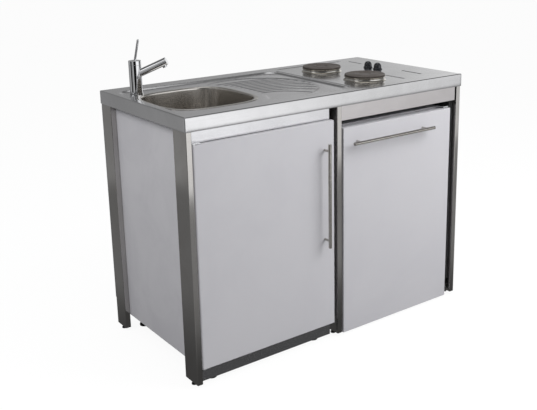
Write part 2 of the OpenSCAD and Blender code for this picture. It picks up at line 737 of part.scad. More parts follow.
// Stainless rings that carry the plates and catch spills
module plate_rings() color(chrome) unit() for (y = plate_ys) translate([plate_cx, y, 0])
    rotate_extrude() {
        lip = plate_top - plate_t;
        polygon([[plate_hole_r - 1, top_h], [plate_r + 4, top_h], [plate_r + 4, top_h + 1],
            [plate_r - 1, top_h + 3], [plate_r - 2, lip], [plate_hole_r + 2, lip],
            [plate_hole_r + 2, lip - 1], [plate_r - 3, lip - 1], [plate_r - 2.2, top_h + 2],
            [plate_r, top_h + 1], [plate_hole_r - 1, top_h + 1]]);
    }
clamp_z = hub_z - 18;
clamp_half = plate_hole_r + 12;
// Straps that pull the plates down, each with a nut on the stud
module plate_clamps() color("silver") unit() for (y = plate_ys) translate([plate_cx, y, 0]) {
    difference() {
        union() {
            block([-clamp_half, -10, clamp_z], [2 * clamp_half, 20, 3]);
            for (x = [-clamp_half, clamp_half - 3]) block([x, -10, clamp_z], [3, 20, top_h - sheet - clamp_z]);
        }
        post(0, 0, clamp_z - 1, stud_r + hole_gap, 5);
    }
    difference() {
        translate([0, 0, clamp_z - 6]) cylinder(r = 8, h = 6, $fn = 6);
        post(0, 0, clamp_z - 7, stud_r, 8);
    }
}
switch_w = 44;
switch_d = 42;
switch_h = 38;
neck_h = 2;
shaft_drop = 22;
// Energy regulators under the knobs
module switches() color([0.85, 0.83, 0.75]) unit() for (y = knob_ys) translate([knob_cx, y, 0]) difference() {
    union() {
        block([-switch_w / 2, -switch_d / 2, top_h - sheet - switch_h], [switch_w, switch_d, switch_h]);
        post(0, 0, top_h - sheet - 1, bush_r, sheet + neck_h + 1);
        for (x = [-10, 0, 10]) block([x - 3, -12, top_h - sheet - switch_h - 8], [6, 1, 9]);
    }
    post(0, 0, top_h - sheet - shaft_drop - 1, shaft_r + run, 60);
}
knob_gap = 0.6;
knob_body_r = 15;
// Domed knob with a flared skirt, and the shaft that it turns
module knob(y) translate([knob_cx, y, 0]) {
    difference() {
        rotate_extrude() difference() {
            union() {
                translate([0, top_h + knob_gap]) square([knob_r, 2]);
                polygon([for (i = [0 : 12]) let (a = 7.5 * i)
                    [knob_body_r + (knob_r - knob_body_r) * pow(1 - sin(a), 1.6), top_h + knob_gap + 2 + 12 * i / 12],
                    [0, top_h + knob_gap + 14], [0, top_h + knob_gap + 2]]);
                intersection() {
                    translate([0, top_h + knob_gap + knob_h - knob_body_r]) circle(knob_body_r);
                    translate([0, top_h + knob_gap + 10]) square([40, 40]);
                }
            }
            translate([-40, top_h - 10]) square([40, 100]);
        }
        block([-0.6, -knob_r, top_h + 4], [1.2, knob_r - knob_body_r + 1.5, knob_h]);
        post(0, 0, top_h - 1, bush_r + hole_gap, 1 + neck_h + 1);
    }
    post(0, 0, top_h - sheet - shaft_drop, shaft_r, sheet + shaft_drop + 10);
}
module knob_front() color([0.1, 0.1, 0.12]) unit() knob(knob_ys[0]);
module knob_rear() color([0.1, 0.1, 0.12]) unit() knob(knob_ys[1]);
// Terminal box in the pan with the gland for the mains cable
module terminal_box() color([0.15, 0.15, 0.15]) unit() {
    block([pan_x1 - 110, pan_y1 - 90, pan_z + 1], [100, 70, 36]);
    difference() {
        bar_y([gland_x, pan_y1 - 21, gland_z], gland_r, gland_l);
        bar_y([gland_x, pan_y1 - 22, gland_z], cable_r, gland_l + 10);
    }
}

// ---------- cabinet door ----------
// Door outline seen from above, shrunk by o and open to the back if deep > 0
module door_plan(o, deep) {
    translate([pivot_in, o]) square([door_w - pivot_in - o, door_t - o + deep]);
    translate([o, pivot_in]) square([door_w - 2 * o, door_t - pivot_in + deep]);
    translate([pivot_in, pivot_in]) circle(pivot_in - o);
}
module cabinet_door_skin() color(paint) unit() translate([door_x, door_y, door_z]) difference() {
    linear_extrude(door_h) door_plan(0, 0);
    translate([0, 0, panel_sheet]) linear_extrude(door_h - 2 * panel_sheet) door_plan(panel_sheet, 1);
    translate([pivot_in, pivot_in, -1]) cylinder(r = pin_r, h = door_h + 2);
}
module cabinet_door_liner() color(paint) unit()
    block([door_x + panel_sheet, door_y + door_t - panel_sheet, door_z + panel_sheet],
        [door_w - 2 * panel_sheet, panel_sheet, door_h - 2 * panel_sheet]);
post_r = 4;
cab_bar_x = door_x + door_w - handle_in;
cab_bar_z = door_top - handle_drop;
bar_out = handle_reach - handle_r;
module cabinet_handle() color(chrome) unit() {
    post(cab_bar_x, door_y - bar_out, cab_bar_z - handle_l / 2, handle_r, handle_l);
    for (s = [-1, 1]) bar_y([cab_bar_x, door_y - bar_out, cab_bar_z + s * handle_posts / 2], post_r, bar_out);
}
collar_r = 6;
block_h = 20;
// Pins with collars, welded into blocks in the door's corners
pin_gaps = [bracket_gap, bracket_gap + panel_sheet];
module pivot_pins() color("silver") unit() for (top = [0, 1]) translate([pivot_x, pivot_y, door_z + top * door_h])
    mirror([0, 0, 1 - top]) {
        post(0, 0, -panel_sheet - 1, pin_r, panel_sheet + pin_gaps[top] + bracket_t + 2);
        post(0, 0, 0, collar_r, pin_gaps[top] - pivot_gap);
        block([-pin_r - 1, -pin_r - 1, -panel_sheet - block_h], [2 * pin_r + 8, 2 * pin_r + 2, block_h]);
    }
// Plates on the cabinet that hold the pins, above and below the door
module pivot_brackets() color("silver") unit() {
    z0 = door_z - bracket_gap - bracket_t;
    z1 = front_rail_z + panel_sheet;
    reach_y = door_y + 1;
    for (z = [z0, z1]) difference() {
        union() {
            block([door_x + 0.5, reach_y, z], [tab_x0 + tab_w - door_x - 0.5, door_t, bracket_t]);
            block([tab_x0, reach_y, z], [tab_w, cabinet_front + rail_depth - 4 - reach_y, bracket_t]);
        }
        post(pivot_x, pivot_y, z - 1, pin_r + run, bracket_t + 2);
    }
    block([tab_x0, cabinet_front, z0], [tab_w, rail_depth - 4, cabinet_z - z0]);
}
// Magnet that holds the steel door shut
module magnet_catch() color([0.2, 0.2, 0.2]) unit() {
    y = door_y + door_t + seat_gap;
    block([in_x1 - 70, y, front_rail_z - 16], [40, 26, 12]);
    block([in_x1 - 65, y + 4, front_rail_z - 5], [30, 20, 5]);
}

// ---------- refrigerator ----------
white = [0.9, 0.91, 0.92];
niche_y = fr_y1 - niche_d;
niche_z = base_z0 + niche_h;
// Side outline of the room inside the walls, grown by o towards them
module cave_side(o, front) polygon([[fr_y0 - front, cave_z0 - o], [niche_y - wall + o, cave_z0 - o],
    [niche_y - wall + o, niche_z + wall - o], [cave_y1 + o, niche_z + wall - o],
    [cave_y1 + o, cave_z1 + o], [fr_y0 - front, cave_z1 + o]]);
module along_x(x0, x1) translate([x0, 0, 0]) rotate([90, 0, 90]) linear_extrude(x1 - x0) children();
knob_axis_y = fr_y0 + 88;
knob_axis_z = cave_z1 - 215;
module fridge_shell() color(white) unit() difference() {
    along_x(fr_x0, fr_x1) polygon([[fr_y0, base_z1], [niche_y, base_z1], [niche_y, niche_z],
        [fr_y1, niche_z], [fr_y1, fr_body_top], [fr_y0, fr_body_top]]);
    along_x(cave_x0, cave_x1) cave_side(0, 1);
    bar_x([cave_x1 - 1, knob_axis_y, knob_axis_z], shaft_r + run, 14);
}
shelf_t = 4;
lid_z = niche_z + wall + 10;
shelf_pitch = 170;
shelf_z = lid_z + shelf_pitch;
ledge_w = 7;
shelf_y0 = fr_y0 + 75;
shelf_y1 = cave_y1 - liner - 4;
module fridge_liner() color(white) unit() difference() {
    union() {
        difference() {
            along_x(cave_x0, cave_x1) cave_side(0, 0);
            along_x(cave_x0 + liner, cave_x1 - liner) cave_side(-liner, 1);
        }
        for (z = [lid_z, shelf_z], x = [cave_x0 + liner, cave_x1 - liner - ledge_w])
            block([x, shelf_y0, z - 5], [ledge_w, shelf_y1 - shelf_y0, 5]);
    }
    bar_x([cave_x1 - liner - 1, knob_axis_y, knob_axis_z], shaft_r + run, liner + 2);
}
module fridge_top() color([0.8, 0.8, 0.8]) unit()
    block([fr_x0, fr_y0 - 2, fr_body_top], [fridge_w, fridge_d + 2, cover_t]);
fridge_foot_r = 14;
// Steel base tray with four feet
module fridge_base() color([0.25, 0.25, 0.26]) unit() {
    translate([fr_x0 + 3, fr_y0 + 6, base_z0]) folded([fridge_w - 6, fridge_d - 6, base_z1 - base_z0], 1.5, [0, 0, 1]);
    for (x = [fr_x0 + 50, fr_x1 - 60], y = [fr_y0 + 45, fr_y1 - 45]) post(x, y, 0, fridge_foot_r, base_z0);
}
// Clips that hold the refrigerator to the middle legs
module fridge_fixings() color("silver") unit()
    for (y = [fr_y0 + 8, rear_leg_y + 2], z = [180, 620])
        block([mid_x + leg_t, y, z], [fridge_gap, 16, 40]);
compressor_x = fr_x0 + 190;
compressor_y = fr_y1 - niche_d / 2;
compressor_r = 60;
tray_z = base_z0 + 1.5;
module compressor() color([0.08, 0.08, 0.08]) unit() translate([compressor_x, compressor_y, tray_z]) {
    post(0, 0, 20, compressor_r, 62);
    translate([0, 0, 82]) difference() {
        sphere(compressor_r);
        block([-100, -100, -200], [200, 200, 200]);
    }
    block([-85, -45, 14], [170, 90, 8]);
    for (x = [-72, 72], y = [-34, 34]) post(x, y, 0, 9, 15);
}
tube_r = 2.5;
coil_turns = 9;
coil_step = 44;
coil_edge = 34;
coil_in = 41;
coil_half = fridge_w / 2 - coil_edge - coil_in;
coil_gap = 16;
slot_pitch = 38;
slot_n = floor(2 * coil_half / slot_pitch);
coil_z0 = niche_z + 40;
coil_h = coil_turns * coil_step;
// Condenser: a serpentine tube soldered to a sheet with rows of louvre slots
module condenser() color([0.1, 0.1, 0.1]) unit() {
    $fn = 24;
    xc = (fr_x0 + fr_x1) / 2;
    plate_y = fr_y1 + coil_gap;
    tube_y = plate_y - 1.8;
    difference() {
        block([xc - coil_half - coil_edge, plate_y, coil_z0 - 20], [2 * (coil_half + coil_edge), 1, coil_h + 40]);
        for (i = [0 : coil_turns - 1], j = [0 : slot_n - 1])
            block([xc - coil_half + 8 + j * slot_pitch, plate_y - 1, coil_z0 + (i + 0.5) * coil_step - 12], [22, 3, 24]);
    }
    for (i = [0 : coil_turns]) bar_x([xc - coil_half, tube_y, coil_z0 + i * coil_step], tube_r, 2 * coil_half);
    for (i = [0 : coil_turns - 1]) let (s = i % 2 == 0 ? 1 : -1)
        translate([xc + s * coil_half, tube_y, coil_z0 + (i + 0.5) * coil_step]) rotate([90, 0, 0])
            rotate([0, 0, s > 0 ? -90 : 90]) rotate_extrude(angle = 180) translate([coil_step / 2, 0]) circle(tube_r);
    for (x = [xc - coil_half + 30, xc + coil_half - 50], z = [coil_z0 - 18, coil_z0 + coil_h + 6])
        block([x, fr_y1, z], [20, coil_gap, 12]);
}

fd_h = fr_door_top - fridge_door_z;
hinge_pin_r = 4;
hinge_pin_l = 14;
module fridge_door_shell() color(paint) unit() difference() {
    translate([fr_x0, fr_door_y, fridge_door_z]) linear_extrude(fd_h) round_rect(fridge_w, fridge_door_t, 3);
    for (z = [fridge_door_z - 1, fr_door_top - hinge_pin_l]) post(hinge_x, hinge_y, z, hinge_pin_r + run, hinge_pin_l + 1);
}
seal_w = 12;
seal_x0 = fr_x0 + 8;
seal_x1 = fr_x1 - hinge_in - 5;
seal_z0 = base_z1 + 5;
seal_z1 = fr_body_top - 5;
door_back = fr_door_y + fridge_door_t;
module fridge_gasket() color([0.75, 0.75, 0.76]) unit() difference() {
    block([seal_x0, door_back, seal_z0], [seal_x1 - seal_x0, gasket_t - 0.3, seal_z1 - seal_z0]);
    block([seal_x0 + seal_w, door_back - 1, seal_z0 + seal_w],
        [seal_x1 - seal_x0 - 2 * seal_w, gasket_t + 2, seal_z1 - seal_z0 - 2 * seal_w]);
}
dyke_x0 = cave_x0 + liner + 18;
dyke_x1 = cave_x1 - liner - 16;
dyke_t = 8;
dyke_y1 = fr_y0 + 55;
bin_zs = [lid_z + 4, lid_z + shelf_pitch];
bin_hs = [110, 70];
dyke_z1 = bin_zs[1] + bin_hs[1] + 10;
// Inner door panel with two upright walls that carry the bins
module fridge_door_liner() color(white) unit() {
    block([seal_x0 + seal_w, door_back, seal_z0 + seal_w],
        [seal_x1 - seal_x0 - 2 * seal_w, 3, seal_z1 - seal_z0 - 2 * seal_w]);
    for (x = [dyke_x0, dyke_x1 - dyke_t]) block([x, door_back, lid_z], [dyke_t, dyke_y1 - door_back, dyke_z1 - lid_z]);
    for (i = [0, 1], x = [dyke_x0 + dyke_t, dyke_x1 - dyke_t - 4])
        block([x, door_back + 3, bin_zs[i] - 4], [4, dyke_y1 - door_back - 3, 4]);
}
module door_bins() color([0.85, 0.88, 0.9]) unit() for (i = [0, 1])
    translate([dyke_x0 + dyke_t, door_back + 3, bin_zs[i]])
        folded([dyke_x1 - dyke_x0 - 2 * dyke_t, dyke_y1 - door_back - 3, bin_hs[i]], 2, [0, 0, 1]);
fr_bar_z = fr_door_top - fridge_handle_drop;
fr_bar_x = (fr_x0 + fr_x1) / 2 - 44;
module fridge_handle() color(chrome) unit() {
    bar_x([fr_bar_x - fridge_handle_l / 2, fr_door_y - bar_out, fr_bar_z], handle_r, fridge_handle_l);
    for (s = [-1, 1]) bar_y([fr_bar_x + s * handle_posts / 2, fr_door_y - bar_out, fr_bar_z], post_r, bar_out);
}
// Top and bottom hinge plates with their pins
module fridge_hinges() color("silver") unit() {
    block([hinge_x - 14, hinge_y - 9, fridge_h], [26, 75, 3]);
    post(hinge_x, hinge_y, fr_door_top - hinge_pin_l + 1, hinge_pin_r, fridge_h + 3 - fr_door_top + hinge_pin_l - 1);
    block([hinge_x - 14, hinge_y - 9, fridge_door_z - 5], [26, fr_y0 + 25 - hinge_y, 3]);
    block([hinge_x - 14, fr_y0 + 7, fridge_door_z - 5], [26, 9, base_z0 - fridge_door_z + 5]);
    post(hinge_x, hinge_y, fridge_door_z - 5, hinge_pin_r, 5 + hinge_pin_l - 2);
}
module fridge_shelves() color([0.8, 0.9, 0.88]) unit() for (z = [lid_z, shelf_z])
    block([cave_x0 + liner + 1, shelf_y0, z], [cave_x1 - cave_x0 - 2 * liner - 2, shelf_y1 - shelf_y0, shelf_t]);
drawer_gap = 12;
drawer_x0 = cave_x0 + liner + drawer_gap;
drawer_w = cave_x1 - liner - drawer_gap - drawer_x0;
drawer_y0 = shelf_y0 + 5;
drawer_l = niche_y - wall - liner - 6 - drawer_y0;
drawer_z0 = cave_z0 + liner;
drawer_h = lid_z - 10 - drawer_z0;
grip_w = 120;
// Vegetable drawer with a grip lip in the middle of its front
module crisper_drawer() color([0.8, 0.85, 0.88]) unit() translate([drawer_x0, drawer_y0, drawer_z0]) {
    folded([drawer_w, drawer_l, drawer_h], 2, [0, 0, 1]);
    block([(drawer_w - grip_w) / 2, -8, drawer_h - 3], [grip_w, 9, 3]);
    block([(drawer_w - grip_w) / 2, -8, drawer_h - 18], [grip_w, 2, 16]);
}
box_x0 = cave_x0 + liner + 14;
box_x1 = cave_x1 - liner - 14;
box_y0 = fr_y0 + 130;
box_y1 = cave_y1 - liner - 8;
box_h = 125;
box_z0 = cave_z1 - liner - box_h;
flap_t = 7;
flap_pin_z = box_z0 + box_h - 9;
// Ice box hung under the ceiling, open in front
module freezer_box() color([0.82, 0.84, 0.86]) unit() {
    translate([box_x0, box_y0, box_z0]) folded([box_x1 - box_x0, box_y1 - box_y0, box_h], 2, [0, -1, 0]);
    for (x = [box_x0, box_x1 - 3]) difference() {
        block([x, box_y0 - flap_t - 4, flap_pin_z - 6], [3, flap_t + 5, 15]);
        bar_x([x - 1, box_y0 - flap_t / 2 - 0.5, flap_pin_z], 2 + run, 5);
    }
}
// Flap that hangs on two pins in the ice box's ears
module freezer_flap() color([0.85, 0.9, 0.95]) unit() {
    block([box_x0 + 4, box_y0 - flap_t - 0.5, box_z0 + 2], [box_x1 - box_x0 - 8, flap_t, flap_pin_z - box_z0 - 2]);
    bar_x([box_x0 + 4, box_y0 - flap_t / 2 - 0.5, flap_pin_z], flap_t / 2, box_x1 - box_x0 - 8);
    bar_x([box_x0, box_y0 - flap_t / 2 - 0.5, flap_pin_z], 2, box_x1 - box_x0);
}
module thermostat_knob() color(white) unit() translate([cave_x1 - liner, knob_axis_y, knob_axis_z]) {
    bar_x([-13, 0, 0], 14, 12.5);
    bar_x([-16, 0, 0], 8, 4);
    bar_x([-1, 0, 0], shaft_r, 12);
}

worktop();
sink_bowl();
top_frame();
front_legs();
rear_legs();
leg_bolts();
leg_plugs();
levelling_feet();
left_panel();
middle_panel();
right_panel();
cabinet_floor();
cabinet_front_rail();
plinth();
cabinet_feet();
back_panel();
spacer_tubes();
panel_screws();
sink_waste();
basket_plug();
waste_trap();
tap_base();
tap_column();
tap_aerator();
tap_cap();
tap_lever();
tap_fixing();
fascia();
hob_pan();
hot_plates();
plate_rings();
plate_clamps();
switches();
knob_front();
knob_rear();
terminal_box();
cabinet_door_skin();
cabinet_door_liner();
cabinet_handle();
pivot_pins();
pivot_brackets();
magnet_catch();
fridge_shell();
fridge_liner();
fridge_top();
fridge_base();
fridge_fixings();
fridge_door_shell();
fridge_door_liner();
fridge_gasket();
fridge_handle();
door_bins();
fridge_hinges();
fridge_shelves();
crisper_drawer();
freezer_box();
freezer_flap();
thermostat_knob();
compressor();
condenser();
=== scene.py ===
"""Kitchenette unit: a pressed stainless worktop with a sink and two hot plates
on six flat tube legs, with a cabinet and a small refrigerator under it.

Lengths in the sections are millimetres from the worktop's front left corner
and from the floor, as in the part's source; put() turns them into the frame.
"""
import json
import math
import bmesh
import bpy
import numpy as np
from mathutils import Matrix, Vector

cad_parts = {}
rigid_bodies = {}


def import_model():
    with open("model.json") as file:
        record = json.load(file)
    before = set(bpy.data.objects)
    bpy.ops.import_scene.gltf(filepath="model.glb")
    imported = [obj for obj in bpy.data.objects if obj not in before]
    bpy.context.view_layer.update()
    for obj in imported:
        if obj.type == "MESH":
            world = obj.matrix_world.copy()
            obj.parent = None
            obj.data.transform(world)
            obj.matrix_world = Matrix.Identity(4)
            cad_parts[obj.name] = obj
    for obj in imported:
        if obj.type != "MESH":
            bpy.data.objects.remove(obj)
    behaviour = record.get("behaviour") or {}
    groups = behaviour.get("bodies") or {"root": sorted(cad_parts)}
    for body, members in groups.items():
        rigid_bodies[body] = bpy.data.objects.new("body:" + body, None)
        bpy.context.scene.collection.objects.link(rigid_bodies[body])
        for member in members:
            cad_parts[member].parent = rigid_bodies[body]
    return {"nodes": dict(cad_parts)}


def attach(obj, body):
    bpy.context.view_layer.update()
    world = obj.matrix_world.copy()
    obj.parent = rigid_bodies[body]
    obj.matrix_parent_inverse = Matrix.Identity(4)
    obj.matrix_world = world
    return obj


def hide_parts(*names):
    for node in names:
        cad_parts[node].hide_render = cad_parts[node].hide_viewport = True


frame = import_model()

for spare in [o for o in bpy.data.objects if o.name in ("Cube", "Light", "Camera")]:
    bpy.data.objects.remove(spare)
scene = bpy.context.scene
scene.view_settings.view_transform = "Standard"
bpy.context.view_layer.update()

# ---------------------------------------------------------------- the studio
# A plain pale floor, softboxes over the unit, at the front right and at the left.
# The camera stands at the front left, half a metre above the worktop.

ORIGIN = np.array([600.0, 284.0, 0.0])


def put(points):
    """Millimetres in the source's drawing frame to metres in the object's frame."""
    return (np.asarray(points, float) - ORIGIN) / 1000.0


def tint(*rgb):
    """Eight-bit display colour to the linear colour that a shader takes."""
    c = np.asarray(rgb, float) / 255.0
    return tuple(np.where(c <= 0.04045, c / 12.92, ((c + 0.055) / 1.055) ** 2.4)) + (1.0,)


def node(tree, kind, feeds=None, **settings):
    """A shader node with its settings; feeds maps a socket to a value or a link."""
    made = tree.nodes.new(kind)
    for key, value in settings.items():
        setattr(made, key, value)
    for key, value in (feeds or {}).items():
        if isinstance(value, bpy.types.NodeSocket):
            tree.links.new(value, made.inputs[key])
        else:
            made.inputs[key].default_value = value
    return made


def maths(tree, operation, *values):
    """Output of one Math node."""
    return node(tree, "ShaderNodeMath", dict(enumerate(values)), operation=operation).outputs[0]


def ramp(tree, value, low, high, out_low=0.0, out_high=1.0, kind="SMOOTHSTEP"):
    """Output of one Map Range node from low..high to out_low..out_high."""
    return node(tree, "ShaderNodeMapRange", {"Value": value, "From Min": low, "From Max": high,
                "To Min": out_low, "To Max": out_high}, interpolation_type=kind).outputs["Result"]


def blend(tree, factor, a, b):
    """Output of one Mix node for values."""
    return node(tree, "ShaderNodeMix", {0: factor, 2: a, 3: b}, data_type="FLOAT").outputs[0]


def choose(tree, factor, a, b):
    """Output of one Mix Shader node."""
    return node(tree, "ShaderNodeMixShader", {0: factor, 1: a, 2: b}).outputs[0]


def along(tree, way, aim):
    """Output of the dot product of two directions."""
    return node(tree, "ShaderNodeVectorMath", {0: way, 1: aim}, operation="DOT_PRODUCT").outputs["Value"]


def studio_walls(tree, way):
    """Level that gloss sees along a direction: strips of softbox and dark wall by azimuth.

    The azimuth is the angle from the front towards the right; a ramp turns it into levels.
    """
    part = node(tree, "ShaderNodeSeparateXYZ", {0: way})
    turn = maths(tree, "ARCTAN2", part.outputs["X"], maths(tree, "MULTIPLY", part.outputs["Y"], -1.0))
    strips = tree.nodes.new("ShaderNodeValToRGB")
    back_left = [(-180, 0.28), (-152, 0.28), (-142, 0.32), (-116, 0.50)]
    left = [(-108, 0.02), (-74, 0.01), (-68, 0.60), (-60, 0.60), (-54, 0.01), (-14, 0.01)]
    front_right = [(-6, 1.15), (24, 1.32), (37, 1.02), (52, 0.85), (66, 0.30), (90, 0.35)]
    back_right = [(108, 0.95), (120, 1.30), (128, 0.98), (137, 0.58), (147, 0.41), (158, 0.30), (180, 0.28)]
    stops = back_left + left + front_right + back_right
    brightest = 1.4
    line = strips.color_ramp.elements
    while len(line) < len(stops):
        line.new(0.5)
    for element, (angle, level) in zip(line, stops):
        element.position = (angle + 180.0) / 360.0
        element.color = (level / brightest, level / brightest, level / brightest, 1.0)
    tree.links.new(ramp(tree, turn, -math.pi, math.pi, kind="LINEAR"), strips.inputs["Fac"])
    return maths(tree, "MULTIPLY", strips.outputs["Color"], brightest)


def aim_camera():
    """The photograph's camera: azimuth, elevation and roll as turns of the view axes."""
    az, el, roll = math.radians(36.67), math.radians(14.65), math.radians(-0.90)
    forward = Vector((math.sin(az) * math.cos(el), math.cos(az) * math.cos(el), -math.sin(el)))
    right = Vector((math.cos(az), -math.sin(az), 0.0))
    up = right.cross(forward)
    r = right * math.cos(roll) + up * math.sin(roll)
    u = up * math.cos(roll) - right * math.sin(roll)
    turn = Matrix((r, u, -forward)).transposed().to_4x4()
    data = bpy.data.cameras.new("camera")
    film, photo_width, focal = 36.0, 537.0, 834.0
    data.sensor_width = film
    data.lens = focal / photo_width * film
    data.shift_x, data.shift_y = -0.05, -0.10
    camera = bpy.data.objects.new("camera", data)
    camera.matrix_world = Matrix.Translation(put([-1179, -2131, 1424])) @ turn
    scene.collection.objects.link(camera)
    scene.camera = camera


def lay_floor():
    """A square floor, white to the camera; gloss sees it dark near the unit and as the walls farther off."""
    mesh = bpy.data.meshes.new("floor")
    s = 30.0
    mesh.from_pydata([(-s, -s, 0), (s, -s, 0), (s, s, 0), (-s, s, 0)], [], [(0, 1, 2, 3)])
    floor = bpy.data.objects.new("floor", mesh)
    scene.collection.objects.link(floor)
    paint = bpy.data.materials.new("floor_paint")
    paint.use_nodes = True
    t = paint.node_tree
    t.nodes.clear()
    out = t.nodes.new("ShaderNodeOutputMaterial")
    seen = node(t, "ShaderNodeLightPath")
    where = node(t, "ShaderNodeTexCoord").outputs["Object"]
    away = node(t, "ShaderNodeVectorMath", {0: where}, operation="LENGTH").outputs["Value"]
    ahead = node(t, "ShaderNodeSeparateXYZ", {0: where}).outputs["Y"]
    near = maths(t, "ADD", ramp(t, away, 0.6, 1.1, 0.08, 0.19), ramp(t, ahead, -0.35, -0.8, 0.0, 0.12))
    behind = maths(t, "MULTIPLY", away, ramp(t, ahead, 0.0, 0.3, 0.0, 0.85))
    depth = maths(t, "MAXIMUM", maths(t, "MULTIPLY", ahead, -1.0), behind)
    level = blend(t, ramp(t, depth, 1.95, 2.25), near, studio_walls(t, where))
    gloss = node(t, "ShaderNodeEmission", {"Color": (1, 1, 1, 1), "Strength": level})
    body = node(t, "ShaderNodeBsdfDiffuse", {"Color": (0.30, 0.30, 0.30, 1)})
    white = node(t, "ShaderNodeEmission", {"Color": (1, 1, 1, 1), "Strength": 1.0})
    shade = node(t, "ShaderNodeBsdfDiffuse", {"Color": (0.95, 0.95, 0.95, 1)})
    front = choose(t, 0.93, shade.outputs[0], white.outputs[0])
    rest = choose(t, seen.outputs["Is Glossy Ray"], body.outputs[0], gloss.outputs[0])
    t.links.new(choose(t, seen.outputs["Is Camera Ray"], rest, front), out.inputs["Surface"])
    mesh.materials.append(paint)


def light_room():
    """World: white to the camera, brighter from the front right than from the back left.

    Gloss sees the walls' strips low down, a plain level high up and two small glints.
    """
    world = bpy.data.worlds.new("room")
    scene.world = world
    world.use_nodes = True
    t = world.node_tree
    t.nodes.clear()
    out = t.nodes.new("ShaderNodeOutputWorld")
    seen = node(t, "ShaderNodeLightPath")
    way = node(t, "ShaderNodeTexCoord").outputs["Generated"]
    side = along(t, way, (0.6, -0.8, 0.0))
    height = node(t, "ShaderNodeSeparateXYZ", {0: way}).outputs["Z"]
    around = ramp(t, side, -0.45, 0.7, 0.17, 0.30)
    over = ramp(t, height, 0.10, 0.75, 0.0, 0.50)
    level = maths(t, "ADD", around, over)
    soft = node(t, "ShaderNodeBackground", {"Color": (0.985, 0.992, 1.0, 1), "Strength": level})
    high = maths(t, "ADD", ramp(t, height, 0.86, 0.95, 0.16, 0.42), ramp(t, height, 0.935, 0.965, 0.0, 1.3))
    lifted = maths(t, "MAXIMUM", studio_walls(t, way), 0.17)
    bright = blend(t, ramp(t, height, 0.34, 0.50), lifted, high)
    glints = [((0.303, 0.504, 0.809), 0.978, 0.990, 0.9), ((-0.865, 0.045, 0.500), 0.965, 0.985, 1.5)]
    for aim, edge, full, gain in glints:
        bright = maths(t, "ADD", bright, ramp(t, along(t, way, aim), edge, full, 0.0, gain))
    strips = node(t, "ShaderNodeBackground", {"Color": (1, 1, 1, 1), "Strength": bright})
    rest = choose(t, seen.outputs["Is Glossy Ray"], soft.outputs[0], strips.outputs[0])
    white = node(t, "ShaderNodeBackground", {"Color": (1, 1, 1, 1), "Strength": 1.0})
    t.links.new(choose(t, seen.outputs["Is Camera Ray"], rest, white.outputs[0]), out.inputs["Surface"])


def hang_lamp(name, place, target, size, power):
    """A square softbox at place, facing target, both in millimetres; gloss sees the walls instead."""
    data = bpy.data.lights.new(name, "AREA")
    data.shape, data.size, data.energy = "SQUARE", size, power
    lamp = bpy.data.objects.new(name, data)
    p, q = Vector(put(place)), Vector(put(target))
    lamp.matrix_world = Matrix.Translation(p) @ (q - p).to_track_quat("-Z", "Y").to_matrix().to_4x4()
    lamp.visible_glossy = False
    scene.collection.objects.link(lamp)


aim_camera()
lay_floor()
light_room()
hang_lamp("softbox_over", [500, -900, 3300], [600, 200, 700], 2.4, 20.0)
hang_lamp("softbox_front", [2200, -1600, 2300], [900, 0, 500], 2.0, 76.0)
hang_lamp("softbox_left", [-1600, 300, 2300], [0, 300, 500], 1.2, 30.0)

# ---------------------------------------------------------------- finishes
# What every surface of the unit shares: grain from grinding or drawing, marks
# of hands and wiping, specks of dust, and edges that are rounded, rubbed and lightened
# with a painted highlight.


def effect(name, takes, gives):
    """An empty node group with named inputs and outputs, and its two end nodes."""
    tree = bpy.data.node_groups.new(name, "ShaderNodeTree")
    for label, kind, value in takes:
        socket = tree.interface.new_socket(label, in_out="INPUT", socket_type="NodeSocket" + kind)
        if value is not None:
            socket.default_value = value
    for label, kind in gives:
        tree.interface.new_socket(label, in_out="OUTPUT", socket_type="NodeSocket" + kind)
    return tree, tree.nodes.new("NodeGroupInput"), tree.nodes.new("NodeGroupOutput")


def times(tree, a, b):
    """Output of the product of two vectors, axis by axis."""
    return node(tree, "ShaderNodeVectorMath", {0: a, 1: b}, operation="MULTIPLY").outputs[0]


def grain_effect():
    """Ground or drawn grain: fine noise stretched along one axis."""
    takes = [("Vector", "Vector", None), ("Stretch", "Vector", (4, 900, 900))]
    t, i, o = effect("grain", takes, [("Fine", "Float")])
    at = times(t, i.outputs["Vector"], i.outputs["Stretch"])
    fine = node(t, "ShaderNodeTexNoise", {"Vector": at, "Scale": 1.0, "Detail": 3.0, "Roughness": 0.7})
    t.links.new(ramp(t, fine.outputs["Fac"], 0.25, 0.75, kind="LINEAR"), o.inputs["Fine"])
    return t


def handling_effect():
    """Wiped smudges, from warped noise, and small specks of dust, from cell distances."""
    takes = [("Vector", "Vector", None), ("Size", "Float", 7.0), ("Speck Size", "Float", 260.0)]
    t, i, o = effect("handling", takes, [("Smudge", "Float"), ("Specks", "Float")])
    wide = node(t, "ShaderNodeTexNoise", {"Vector": i.outputs["Vector"], "Scale": i.outputs["Size"],
                "Detail": 5.0, "Roughness": 0.62, "Distortion": 0.8})
    cells = node(t, "ShaderNodeTexVoronoi", {"Vector": i.outputs["Vector"], "Scale": i.outputs["Speck Size"]})
    chosen = node(t, "ShaderNodeSeparateColor", {0: cells.outputs["Color"]}).outputs[0]
    near = ramp(t, cells.outputs["Distance"], 0.10, 0.32, 1.0, 0.0)
    t.links.new(ramp(t, wide.outputs["Fac"], 0.36, 0.68), o.inputs["Smudge"])
    t.links.new(maths(t, "MULTIPLY", near, ramp(t, chosen, 0.86, 0.93)), o.inputs["Specks"])
    return t


